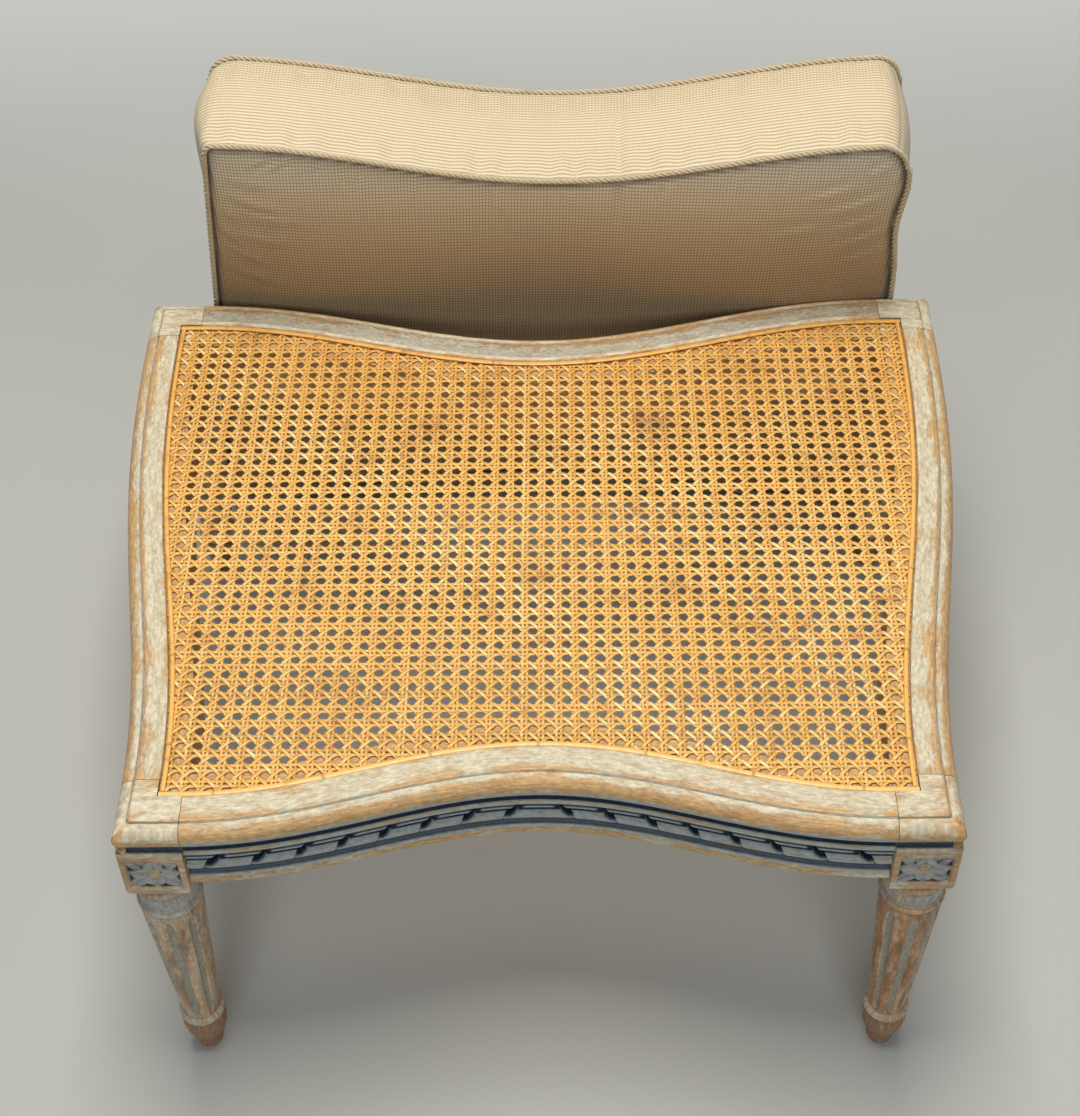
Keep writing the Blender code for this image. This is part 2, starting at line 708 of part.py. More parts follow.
def add_stack(bm, first_tip, rings, last_tip):
    """A closed skin from one tip through rings to another tip."""
    rows = [[bm.verts.new(point) for point in ring] for ring in rings]
    add_fan(bm, rows[0], first_tip)
    for first, second in zip(rows, rows[1:]):
        add_strip(bm, first, second, True)
    add_fan(bm, rows[-1], last_tip)


def make_cushion(materials, parent):
    """Filling, two faces, boxing and two piping cords. depth is towards the stool."""
    outline = cushion_outline()
    normals = outward_normals(outline)
    seam = CUSHION_THICKNESS / 2
    rim = PIPING_RADIUS + FIT
    for name, way in (("cushion_front", 1), ("cushion_back", -1)):
        skins = []
        for layer in (CLOTH / 2, -CLOTH / 2):
            skins.append(dome(outline, normals, rim, way * (seam + layer), way * CROWN))
        bm = bmesh.new()
        add_stack(bm, skins[0][1], skins[0][0][::-1] + skins[1][0], skins[1][1])
        make_object(name + "_panel", bm, materials["cloth"], parent, 60.0)
        bm = bmesh.new()
        sections = []
        for i in range(PIPING_SIDES):
            angle = 2 * math.pi * i / PIPING_SIDES
            out = PIPING_RADIUS * math.cos(angle)
            depth = way * seam + PIPING_RADIUS * math.sin(angle)
            sections.append(ring_at(outline, normals, out, depth))
        add_loft(bm, sections, ring=True)
        make_object(name + "_piping", bm, materials["piping"], parent, 80.0)
    edge = seam - PIPING_RADIUS - FIT
    levels = [(edge * (i / 2 - 1), BOXING_BULGE * (1 - (i / 2 - 1) ** 2)) for i in range(5)]
    outer = [ring_at(outline, normals, CLOTH / 2, depth, bulge) for depth, bulge in levels]
    inner = [ring_at(outline, normals, -CLOTH / 2, depth, bulge) for depth, bulge in levels]
    bm = bmesh.new()
    add_loft(bm, outer + inner[::-1], ring=True, split=True)
    make_object("cushion_boxing", bm, materials["cloth"], parent, 60.0)
    inset = CLOTH / 2 + FIT
    filling_rim = PIPING_RADIUS + inset
    front = dome(outline, normals, filling_rim, seam - inset, CROWN)
    back = dome(outline, normals, filling_rim, inset - seam, -CROWN)
    sides = [ring_at(outline, normals, -inset, depth, bulge) for depth, bulge in levels]
    bm = bmesh.new()
    add_stack(bm, front[1], front[0][::-1] + sides[::-1] + back[0], back[1])
    make_object("cushion_filling", bm, materials["filling"], parent, 60.0)


def seat_cushion(stand_empty):
    """Moves the cushion to where its front face just touches the rear of the frame."""
    height = TORUS_Z
    turn = Vector((math.cos(CUSHION_TURN), math.sin(CUSHION_TURN)))
    reach = 0.0
    for child in stand_empty.children:
        points = [vertex.co for vertex in child.data.vertices]
        for edge in child.data.edges:
            a, b = (points[i] for i in edge.vertices)
            if (a.z - height) * (b.z - height) >= 0:
                continue
            cross = a.lerp(b, (height - a.z) / (b.z - a.z))
            x = CUSHION_SHIFT + cross.x * turn.x - cross.y * turn.y
            y = cross.x * turn.y + cross.y * turn.x
            if abs(x) < REAR_WIDTH / 2:
                reach = max(reach, long_point(True, x, FRONT_BAND + MOULDING).y - y)
    lean_clearance = TORUS_RADIUS * (1 / math.cos(CUSHION_LEAN) - 1)
    stand_empty.location = (CUSHION_SHIFT, reach + FIT + lean_clearance, 0.0)
    stand_empty.rotation_euler = (0.0, 0.0, CUSHION_TURN)


def centre_on_origin(root):
    """Puts the origin on the floor, under the middle of the whole object's box."""
    bpy.context.view_layer.update()
    graph = bpy.context.evaluated_depsgraph_get()
    low = Vector((math.inf, math.inf))
    high = -low
    for obj in bpy.context.scene.objects:
        if obj.type != "MESH" or obj.hide_render:
            continue
        shape = obj.evaluated_get(graph)
        mesh = shape.to_mesh()
        for vertex in mesh.vertices:
            place = shape.matrix_world @ vertex.co
            low = Vector((min(low.x, place.x), min(low.y, place.y)))
            high = Vector((max(high.x, place.x), max(high.y, place.y)))
        shape.to_mesh_clear()
    root.location = (-(low.x + high.x) / 2, -(low.y + high.y) / 2, 0.0)


def main():
    clear_scene()
    paint = make_material("worn_paint", (0.47, 0.42, 0.34), 0.6)
    beech = make_material("beech_peg", (0.42, 0.27, 0.15), 0.6)
    cane = make_material("honey_cane", (0.72, 0.43, 0.14), 0.45)
    binder = make_material("cane_binder", (0.62, 0.32, 0.08), 0.45)
    cushion_materials = {
        "cloth": make_material("check_cloth", (0.50, 0.42, 0.30), 0.85),
        "piping": make_material("twisted_piping", (0.47, 0.40, 0.29), 0.85),
        "filling": make_material("hair_filling", (0.62, 0.58, 0.50), 0.9),
    }
    root = make_empty("stool_centre")
    make_long_rail("front_rail", False, paint, root)
    make_long_rail("rear_rail", True, paint, root)
    make_side_rail("left_rail", -1, paint, root)
    make_side_rail("right_rail", 1, paint, root)
    for place, side, end in (
        ("front_left", -1, -1),
        ("front_right", 1, -1),
        ("rear_left", -1, 1),
        ("rear_right", 1, 1),
    ):
        make_leg(place + "_leg", side, end, paint, root)
        make_pegs(place, side, end, beech, root)
    make_cane(cane, root)
    make_binders(binder, root)
    cushion = make_empty("cushion_stand", root)
    make_cushion(cushion_materials, cushion)
    seat_cushion(cushion)
    centre_on_origin(root)


main()
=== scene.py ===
"""Caned stool of a sectional daybed with its loose box cushion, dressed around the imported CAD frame."""

import math
from functools import partial

import bmesh
import bpy
import numpy as np
from bpy.props import FloatProperty, FloatVectorProperty, IntProperty, PointerProperty
from mathutils import Matrix, Vector


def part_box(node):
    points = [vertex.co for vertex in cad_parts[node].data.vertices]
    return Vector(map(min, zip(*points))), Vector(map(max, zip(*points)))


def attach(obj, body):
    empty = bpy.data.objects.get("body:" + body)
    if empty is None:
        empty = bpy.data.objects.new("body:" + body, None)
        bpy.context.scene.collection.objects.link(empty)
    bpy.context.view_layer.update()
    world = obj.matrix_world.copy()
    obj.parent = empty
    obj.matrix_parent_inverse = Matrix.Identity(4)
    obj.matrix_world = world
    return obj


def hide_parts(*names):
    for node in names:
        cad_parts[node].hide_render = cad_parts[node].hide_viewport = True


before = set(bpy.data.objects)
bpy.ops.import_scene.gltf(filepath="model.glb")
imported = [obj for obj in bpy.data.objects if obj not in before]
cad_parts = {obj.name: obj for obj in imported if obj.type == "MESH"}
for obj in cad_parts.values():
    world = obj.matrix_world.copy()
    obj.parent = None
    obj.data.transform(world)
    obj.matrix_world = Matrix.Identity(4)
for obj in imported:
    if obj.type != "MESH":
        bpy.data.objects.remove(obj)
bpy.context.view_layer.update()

bl_info = {
    "name": "Caned Stool and Cushion",
    "version": (1, 0, 0),
    "blender": (4, 5, 0),
    "location": "View3D > Sidebar > Stool",
    "description": "Carved and painted caned stool with a loose box cushion",
    "category": "Object",
}

LEGS = {
    "front_left_leg": (-1, -1),
    "front_right_leg": (1, -1),
    "rear_left_leg": (-1, 1),
    "rear_right_leg": (1, 1),
}
PEGS = [name.replace("_leg", end) for name in LEGS for end in ("_rail_peg", "_side_peg")]
LEG_BOX = {name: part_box(name) for name in LEGS}
PEG_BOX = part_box("front_left_rail_peg")
PIPING_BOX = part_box("cushion_front_piping")
CANE_LOW, CANE_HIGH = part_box("cane_panel")
BINDER_LOW, BINDER_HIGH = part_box("front_binder")
SEAT_FRONT = LEG_BOX["front_left_leg"][0].y
SEAT_REAR = LEG_BOX["rear_left_leg"][1].y
MIDDLE_Y = (SEAT_FRONT + SEAT_REAR) / 2  # the stool's middle in the frame
SLOPE_STEP = 0.0005
SHARP_ANGLE = math.radians(40.0)
FABRIC_SHEEN = 0.12
PALE = (0.93, 0.97, 1.0, 1.0)  # the room where it is seen directly


def length(name, about, default):
    return FloatProperty(name=name, description=about, default=default, min=0.0, unit="LENGTH", precision=4)


def colour(name, about, default):
    limits = {"size": 3, "min": 0.0, "max": 1.0, "subtype": "COLOR"}
    return FloatVectorProperty(name=name, description=about, default=default, **limits)


def turned(name, about, degrees):
    return FloatProperty(name=name, description=about, default=math.radians(degrees), subtype="ANGLE")


class StoolSizes(bpy.types.PropertyGroup):
    """Sizes of the stool's wooden frame"""

    depth: length("Depth", "Front block face to rear block face", SEAT_REAR - SEAT_FRONT)
    front_width: length("Front width", "Over the front blocks", 2 * LEG_BOX["front_right_leg"][1].x)
    rear_width: length("Rear width", "Over the rear blocks", 2 * LEG_BOX["rear_right_leg"][1].x)
    height: length("Height", "Floor to the flat top of the frame", LEG_BOX["front_left_leg"][1].z)
    front_dip: length("Front dip", "How far the front rail curves in", 0.043)
    rear_dip: length("Rear dip", "How far the rear rail curves in", 0.0525)
    side_bow: length("Side bow", "How far a side rail swells out", 0.006)
    block: length("Block", "Side of the square block on a leg", 0.048)
    block_foot: length("Block foot", "Floor to the underside of a block", 0.2486)
    block_round: length("Block rounding", "Rounding of a block's lower edges", 0.0058)
    corner_round: length("Corner rounding", "Rounding of a block's outer corner", 0.0026)
    front_band: length("Front band", "Flat top of the front and rear rails", 0.022)
    side_band: length("Side band", "Flat top of the side rails", 0.018)
    rebate: length("Rebate", "Depth of the step that holds the cane", 0.005)
    quirk_width: length("Quirk width", "Thin groove between band and torus", 0.0012)
    quirk_depth: length("Quirk depth", "Thin groove between band and torus", 0.0025)
    torus: length("Torus radius", "Half-round top moulding", 0.0105)
    groove: length("Groove", "Height of the groove under the torus", 0.0042)
    fillet: length("Fillet", "Height of the fillet above the ribbon", 0.005)
    ribbon: length("Ribbon", "Height of the carved ribbon", 0.0205)
    low_groove: length("Low groove", "Height of the groove under the ribbon", 0.0063)
    base: length("Base", "Height of the plain strip below the ribbon", 0.0082)
    face_sink: length("Face sink", "Fillet and base behind the block face", 0.0035)
    ribbon_pitch: length("Ribbon pitch", "Distance between the ribbon's slots", 0.031)
    slot_width: length("Slot width", "Width of a ribbon slot", 0.0090)
    slot_depth: length("Slot depth", "Depth of a ribbon slot", 0.0050)
    panel_width: length("Panel width", "Sunk panel of a block", 0.038)
    panel_height: length("Panel height", "Sunk panel of a block", 0.033)
    panel_depth: length("Panel depth", "Sunk panel of a block", 0.0044)
    flutes: IntProperty(name="Flutes", description="Flutes round a leg", default=8, min=4, max=16)
    flute_depth: length("Flute depth", "Depth of a flute", 0.0027)
    flute_share: FloatProperty(
        name="Flute share", description="Flute width by its pitch", default=0.43, min=0.2, max=0.9
    )


class SeatSizes(bpy.types.PropertyGroup):
    """Sizes of the caned seat"""

    pitch_across: length("Pitch across", "Hole to hole, left to right", 0.0129)
    pitch_along: length("Pitch along", "Hole to hole, front to back", 0.0135)
    upright_pair: length("Upright pair", "Between the two strands of a front to back pair", 0.0031)
    level_pair: length("Level pair", "Between the two strands of a left to right pair", 0.0042)
    upright_width: length("Upright width", "Width of a front to back strand", 0.0024)
    level_width: length("Level width", "Width of a left to right strand", 0.0029)
    slant_width: length("Slant width", "Width of a diagonal strand", 0.0030)
    strand_thickness: length("Strand thickness", "Thickness of a cane strand", 0.0006)
    rise: length("Rise", "How far a diagonal strand passes over or under", 0.00062)
    binder_width: length("Binder width", "Width of the strip round the seat", 0.0046)
    tie_pitch: length("Tie pitch", "Distance between the ties of the strip", 0.078)


class CushionSizes(bpy.types.PropertyGroup):
    """Sizes of the loose cushion, measured along its seams"""

    height: length("Length", "Wide edge to narrow edge", 0.518)
    narrow: length("Narrow edge", "Width of the edge that is up", 0.588)
    wide: length("Wide edge", "Width of the edge on the floor", 0.670)
    thickness: length("Thickness", "Seam to seam", 0.107)
    narrow_dip: length("Narrow dip", "Hollow of the edge that is up", 0.041)
    wide_dip: length("Wide dip", "Hollow of the edge on the floor", 0.048)
    side_draw: length("Side draw", "How far the sides pull in", 0.002)
    lean: turned("Lean", "Lean towards the stool", 9.5)
    turn: turned("Turn", "Turn about the upright", -1.2)
    skew: FloatProperty(name="Skew", description="Sag to its right per metre of height", default=0.034)
    piping: length("Piping radius", "Radius of the twisted cord", 0.0034)
    twist: length("Twist", "Length of one turn of the cord", 0.0160)
    check_across: length("Check across", "Line to line across the cloth", 0.00277)
    check_along: length("Check along", "Line to line along the cloth", 0.00338)
    voxel: length("Voxel", "Mesh size for the cloth simulation", 0.0062)
    pressure: FloatProperty(name="Pressure", description="How hard the filling pushes", default=4.0, min=0.0)
    swell_cap: length("Swell cap", "Farthest that the cloth may move", 0.014)


class Finishes(bpy.types.PropertyGroup):
    """Colours of the finishes"""

    cream: colour("Cream paint", "Paint on the flat bands", (0.775, 0.685, 0.49))
    grey: colour("Grey paint", "Paint in the carving", (0.40, 0.445, 0.465))
    # The slate is also mixed in as painted shade, in the slots, under the cane and on the rear band.
    slate: colour("Slate paint", "Paint in the grooves", (0.058, 0.082, 0.112))
    blush: colour("Blush", "Pinkish undercoat on the legs", (0.50, 0.36, 0.265))
    wash: colour("Dirty wash", "Old glaze over the paint", (0.56, 0.44, 0.29))
    wood: colour("Worn wood", "Wood where paint is gone", (0.66, 0.385, 0.15))
    foot: colour("Foot", "Stain on the feet", (0.36, 0.180, 0.092))
    peg: colour("Peg wood", "Bare beech", (0.50, 0.36, 0.21))
    cane: colour("Cane", "Honey cane", (0.89, 0.49, 0.120))
    pale_cane: colour("Pale cane", "Newer strands", (0.96, 0.755, 0.34))
    dark_cane: colour("Dark cane", "Stains and old strands", (0.40, 0.19, 0.055))
    cloth: colour("Cloth", "Ground of the check", (0.82, 0.675, 0.445))
    check: colour("Check", "Lines of the check", (0.43, 0.335, 0.22))
    cord: colour("Cord", "Twisted piping", (0.66, 0.535, 0.35))
    floor: colour("Floor", "Plain pale floor", (0.54, 0.54, 0.51))


def swell(share):
    """Goes from 0 at both ends to 1 in the middle, level at each."""
    return (1 - np.cos(2 * np.pi * np.clip(share, 0.0, 1.0))) / 2


def sweep_over(share):
    """Goes from 0 to 1, level at both ends."""
    return (1 - np.cos(np.pi * np.clip(share, 0.0, 1.0))) / 2


def ease(low, high, value):
    """Smooth step from 0 at low to 1 at high."""
    share = np.clip((np.asarray(value, float) - low) / (high - low), 0.0, 1.0)
    return share * share * (3 - 2 * share)


def arc(count, first, last):
    """Angles in radians from first to last degrees."""
    return np.radians(np.linspace(first, last, count))


def slope_of(edge, at):
    return (edge(at + SLOPE_STEP) - edge(at - SLOPE_STEP)) / (2 * SLOPE_STEP)


class Plan:
    """The stool seen from above, from the sizes. Its middle is at the origin."""

    def __init__(self, sizes):
        s = self.sizes = sizes
        self.moulding = s.quirk_width + s.torus
        self.torus_z = s.height - s.quirk_width - s.torus
        self.groove_z = self.torus_z - s.torus
        self.face_top = self.groove_z - 0.003  # top of a block's flat face
        self.panel_z = (s.block_foot + self.face_top) / 2
        self.rail_foot = self.groove_z - s.groove - s.fillet - s.ribbon - s.low_groove - s.base
        self.open_front_x = s.front_width / 2 - self.moulding - s.side_band
        self.open_rear_x = s.rear_width / 2 - self.moulding - s.side_band
        self.open_y = s.depth / 2 - self.moulding - s.front_band
        self.joint_front_x = s.front_width / 2 - s.block
        self.joint_rear_x = s.rear_width / 2 - s.block
        self.joint_y = s.depth / 2 - s.block

    def long_edge(self, rear, x):
        half = self.joint_rear_x if rear else self.joint_front_x
        dip = self.sizes.rear_dip if rear else self.sizes.front_dip
        inward = dip * swell((np.asarray(x) + half) / (2 * half))
        return self.open_y - inward if rear else inward - self.open_y

    def side_edge(self, side, y):
        share = (np.asarray(y) + self.joint_y) / (2 * self.joint_y)
        half = self.open_front_x + (self.open_rear_x - self.open_front_x) * sweep_over(share)
        return side * (half + self.sizes.side_bow * swell(share))

    def long_points(self, rear, x, offset):
        """Points beside the front or rear edge of the seat, offset outwards and square to it."""
        slope = slope_of(partial(self.long_edge, rear), x)
        size = np.hypot(slope, 1.0) * (1 if rear else -1)
        return x - slope / size * offset, self.long_edge(rear, x) + offset / size

    def side_points(self, side, y, offset):
        """Points beside the left or right edge, in the same way."""
        slope = slope_of(partial(self.side_edge, side), y)
        size = np.hypot(slope, 1.0) * side
        return self.side_edge(side, y) + offset / size, y - slope / size * offset

    def inside(self, x, y, margin):
        """True for points of the cane opening, margin metres in from its edge."""
        deep = (y > self.long_edge(False, x) + margin) & (y < self.long_edge(True, x) - margin)
        return deep & (np.abs(x) < self.side_edge(1, y) - margin)


# Meshes


def new_object(name, data):
    obj = bpy.data.objects.new(name, data)
    bpy.context.scene.collection.objects.link(obj)
    return obj


def add_attribute(mesh, key, values, domain="POINT"):
    """Stores one number or one vector for each point or face corner."""
    values = np.asarray(values, np.float32)
    kind, field = ("FLOAT_VECTOR", "vector") if values.ndim == 2 else ("FLOAT", "value")
    mesh.attributes.new(key, kind, domain).data.foreach_set(field, values.ravel())


def columns(*parts):
    """Arrays and numbers side by side, with a row for each point."""
    return np.column_stack(np.broadcast_arrays(*parts))


def read_values(items, key, width=1, kind=float):
    """One property of many mesh elements as an array, with a row for each vector."""
    values = np.zeros(len(items) * width, kind)
    items.foreach_get(key, values)
    return values.reshape(-1, width) if width > 1 else values


def turn_outwards(mesh, merged=False):
    """Turns the faces outwards, first merging points that lie together if asked."""
    bm = bmesh.new()
    bm.from_mesh(mesh)
    if merged:
        bmesh.ops.remove_doubles(bm, verts=bm.verts, dist=1e-6)
        bmesh.ops.dissolve_degenerate(bm, edges=bm.edges, dist=1e-7)
    bmesh.ops.recalc_face_normals(bm, faces=bm.faces)
    bm.to_mesh(mesh)
    bm.free()


def mesh_object(name, points, faces, attributes=None):
    """A mesh object in place, with normals turned outwards and named point attributes."""
    mesh = bpy.data.meshes.new(name)
    mesh.from_pydata(np.asarray(points, float), [], faces)
    for key, values in (attributes or {}).items():
        add_attribute(mesh, key, values)
    turn_outwards(mesh, merged=True)
    mesh.shade_smooth()
    mesh.set_sharp_from_angle(angle=SHARP_ANGLE)
    return new_object(name, mesh)


def grid_faces(rows, around, closed=True):
    """Quads of a grid whose points run row by row. A closed grid is a tube with capped ends."""
    across = around if closed else around - 1
    starts = np.arange(rows - 1)[:, None] * around
    first = (starts + np.arange(across)).ravel()
    second = (starts + (np.arange(across) + 1) % around).ravel()
    faces = np.stack([first, second, second + around, first + around], 1).tolist()
    if closed:
        faces += [list(range(around)), list(range((rows - 1) * around, rows * around))]
    return faces


def line_object(name, lines, attributes, cyclic=False):
    """A mesh of polylines, the paths that a Geometry Nodes tree sweeps."""
    edges = []
    start = 0
    for line in lines:
        stop = start + len(line)
        edges += [(i, i + 1) for i in range(start, stop - 1)]
        if cyclic:
            edges.append((stop - 1, start))
        start = stop
    mesh = bpy.data.meshes.new(name)
    mesh.from_pydata(np.concatenate(lines), edges, [])
    for key, values in attributes.items():
        add_attribute(mesh, key, np.concatenate(values))
    return new_object(name, mesh)


def run_along(points):
    """Length from the first point of a polyline to each of its points."""
    return np.concatenate([[0.0], np.cumsum(np.linalg.norm(np.diff(points, axis=0), axis=1))])


def length_round(line):
    return np.linalg.norm(np.roll(line, -1, 0) - line, axis=1).sum()


def keep_result(obj, all_layers=False):
    """Applies the object's modifiers to its mesh and gives the mesh back."""
    bpy.context.view_layer.update()
    graph = bpy.context.evaluated_depsgraph_get()
    mesh = bpy.data.meshes.new_from_object(
        obj.evaluated_get(graph), preserve_all_data_layers=all_layers, depsgraph=graph
    )
    old = obj.data
    obj.modifiers.clear()
    obj.data = mesh
    bpy.data.meshes.remove(old)
    return mesh


def finish_piece(obj, body, slot, *nodes):
    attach(obj, body)
    if nodes:
        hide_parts(*nodes)


# Geometry Nodes

INPUT_KINDS = {
    "Geometry": "NodeSocketGeometry",
    "Sides": "NodeSocketInt",
    "Points": "NodeSocketInt",
    "Material": "NodeSocketMaterial",
}  # the other inputs are plain numbers


def tree_with_inputs(name, *labels):
    """An empty node tree for a modifier: the tree, its named inputs and its outlet."""
    tree = bpy.data.node_groups.new(name, "GeometryNodeTree")
    for label in ("Geometry", *labels):
        kind = INPUT_KINDS.get(label, "NodeSocketFloat")
        tree.interface.new_socket(label, in_out="INPUT", socket_type=kind)
    tree.interface.new_socket("Geometry", in_out="OUTPUT", socket_type=INPUT_KINDS["Geometry"])
    return tree, tree.nodes.new("NodeGroupInput").outputs, tree.nodes.new("NodeGroupOutput").inputs[0]


def place(tree, kind, inputs=None, **settings):
    """Adds a node, links or sets its inputs and gives the node back."""
    node = tree.nodes.new(kind)
    for key, value in settings.items():
        setattr(node, key, value)
    for key, value in (inputs or {}).items():
        if isinstance(value, bpy.types.NodeSocket):
            tree.links.new(value, node.inputs[key])
        else:
            node.inputs[key].default_value = value
    return node


def put(tree, kind, inputs=None, out=0, **settings):
    """Adds a node and gives one of its outputs back."""
    return place(tree, kind, inputs, **settings).outputs[out]


def end_tree(tree, given, outlet, skin):
    """Every tree ends in smooth, real geometry with its material."""
    smooth = put(tree, "GeometryNodeSetShadeSmooth", {"Geometry": skin})
    real = put(tree, "GeometryNodeRealizeInstances", {0: smooth})
    done = put(tree, "GeometryNodeSetMaterial", {"Geometry": real, "Material": given["Material"]})
    tree.links.new(done, outlet)
    return tree


def strand_tree():
    """Sweeps a flat lens section along polylines, level with the seat."""
    tree, given, outlet = tree_with_inputs("Cane Strand", "Width", "Thickness", "Sides", "Material")
    add = partial(put, tree)
    path = add("GeometryNodeMeshToCurve", {0: given["Geometry"]})
    level = add("GeometryNodeSetCurveNormal", {"Curve": path}, mode="Z_UP")
    ring = add("GeometryNodeCurvePrimitiveCircle", {"Resolution": given["Sides"], "Radius": 0.5})
    size = add("ShaderNodeCombineXYZ", {0: given["Width"], 1: given["Thickness"], 2: 1.0})
    section = add("GeometryNodeTransform", {"Geometry": ring, "Scale": size})
    sweep = {"Curve": level, "Profile Curve": section, "Fill Caps": True}
    return end_tree(tree, given, outlet, add("GeometryNodeCurveToMesh", sweep))


def cord_tree():
    """Winds three strands round a closed path."""
    labels = ("Points", "Turns", "Winding Radius", "Strand Radius", "Material")
    tree, given, outlet = tree_with_inputs("Twisted Cord", *labels)
    add = partial(put, tree)

    def calc(operation, first, second=0.0):
        return add("ShaderNodeMath", {0: first, 1: second}, operation=operation)

    path = add("GeometryNodeMeshToCurve", {0: given["Geometry"]})
    fine = add("GeometryNodeResampleCurve", {"Curve": path, "Count": given["Points"]})
    normal = add("GeometryNodeInputNormal")
    tangent = add("GeometryNodeInputTangent")
    side = add("ShaderNodeVectorMath", {0: tangent, 1: normal}, operation="CROSS_PRODUCT")
    turns = calc("MULTIPLY", add("GeometryNodeSplineParameter", out="Factor"), given["Turns"])
    ring = add("GeometryNodeCurvePrimitiveCircle", {"Resolution": 6, "Radius": given["Strand Radius"]})
    join = tree.nodes.new("GeometryNodeJoinGeometry")
    for strand in range(3):
        angle = calc("MULTIPLY", calc("ADD", turns, strand / 3), 2 * math.pi)
        parts = []
        for wave, axis in (("COSINE", normal), ("SINE", side)):
            reach = calc("MULTIPLY", calc(wave, angle), given["Winding Radius"])
            parts.append(add("ShaderNodeVectorMath", {0: axis, "Scale": reach}, operation="SCALE"))
        offset = add("ShaderNodeVectorMath", dict(enumerate(parts)), operation="ADD")
        wound = add("GeometryNodeSetPosition", {"Geometry": fine, "Offset": offset})
        skin = add("GeometryNodeCurveToMesh", {"Curve": wound, "Profile Curve": ring})
        tree.links.new(skin, join.inputs[0])
    return end_tree(tree, given, outlet, join.outputs[0])


def grow(obj, tree, values):
    """Runs a tree on the object and keeps the result as its plain mesh."""
    modifier = obj.modifiers.new(tree.name, "NODES")
    modifier.node_group = tree
    for item in tree.interface.items_tree:
        if item.in_out == "INPUT" and item.name in values:
            modifier[item.identifier] = values[item.name]
    mesh = keep_result(obj, all_layers=True)
    if not mesh.polygons:
        raise RuntimeError(f"{tree.name} made nothing for {obj.name}")
    mesh.name = obj.name
    turn_outwards(mesh)


# Materials


class Finish:
    """A procedural material, built one node at a time."""

    def __init__(self, name, roughness, specular=0.5, sheen=0.0):
        self.colours = bpy.context.scene.stool_finishes
        self.material = bpy.data.materials.new(name + "_finish")
        self.material.use_nodes = True
        self.tree = self.material.node_tree
        self.shader = self.tree.nodes["Principled BSDF"]
        self.node = partial(put, self.tree)
        sockets = {"Roughness": roughness, "Specular IOR Level": specular, "Sheen Weight": sheen}
        for key, value in sockets.items():
            self.shader.inputs[key].default_value = value

    def attribute(self, name, out="Fac"):
        return self.node("ShaderNodeAttribute", out=out, attribute_name=name)

    def place_on(self):
        return self.node("ShaderNodeTexCoord", out="Object")

    def parts(self, vector):
        return place(self.tree, "ShaderNodeSeparateXYZ", {0: vector}).outputs

    def stretched(self, vector, scale):
        return self.node("ShaderNodeMapping", {"Vector": vector, "Scale": scale})

    def noise(self, vector, scale, detail=3.0, roughness=0.55):
        inputs = {"Vector": vector, "Scale": scale, "Detail": detail, "Roughness": roughness}
        return self.node("ShaderNodeTexNoise", inputs)

    def math(self, operation, first, second=0.0):
        return self.node("ShaderNodeMath", {0: first, 1: second}, operation=operation)

    def plus(self, value, other, factor, middle=0.0):
        """Adds to a value how far another is from its middle, times a factor."""
        if middle:
            other = self.math("SUBTRACT", other, middle)
        return self.math("ADD", value, self.math("MULTIPLY", other, factor))

    def ease(self, value, low, high, to_low=0.0, to_high=1.0):
        inputs = {"Value": value, "From Min": low, "From Max": high, "To Min": to_low, "To Max": to_high}
        return self.node("ShaderNodeMapRange", inputs, interpolation_type="SMOOTHSTEP")

    def mix(self, factor, first, second, blend="MIX"):
        def paint(value):
            return value if isinstance(value, bpy.types.NodeSocket) else (*value, 1.0)

        inputs = {0: factor, 6: paint(first), 7: paint(second)}
        return self.node("ShaderNodeMix", inputs, out=2, data_type="RGBA", blend_type=blend)

    def tint(self, base, colour, value, *ramp):
        """Turns a colour into another where a value goes up its ramp."""
        return self.mix(self.ease(value, *ramp), base, colour)

    def vary(self, base, value, *ramp):
        """Multiplies a colour by a number that follows a value up its ramp."""
        factor = self.ease(value, *ramp)
        grey = self.node("ShaderNodeCombineColor", {0: factor, 1: factor, 2: factor})
        return self.mix(1.0, base, grey, "MULTIPLY")

    def finish(self, base, roughness=None, height=None, distance=0.0005, strength=1.0):
        links = {"Base Color": base, "Roughness": roughness}
        if height is not None:
            inputs = {"Strength": strength, "Distance": distance, "Height": height}
            links["Normal"] = self.node("ShaderNodeBump", inputs)
        for key, value in links.items():
            if value is not None:
                self.tree.links.new(value, self.shader.inputs[key])
        return self.material


def finish_material(name, maker):
    return bpy.data.materials.get(name + "_finish") or maker()


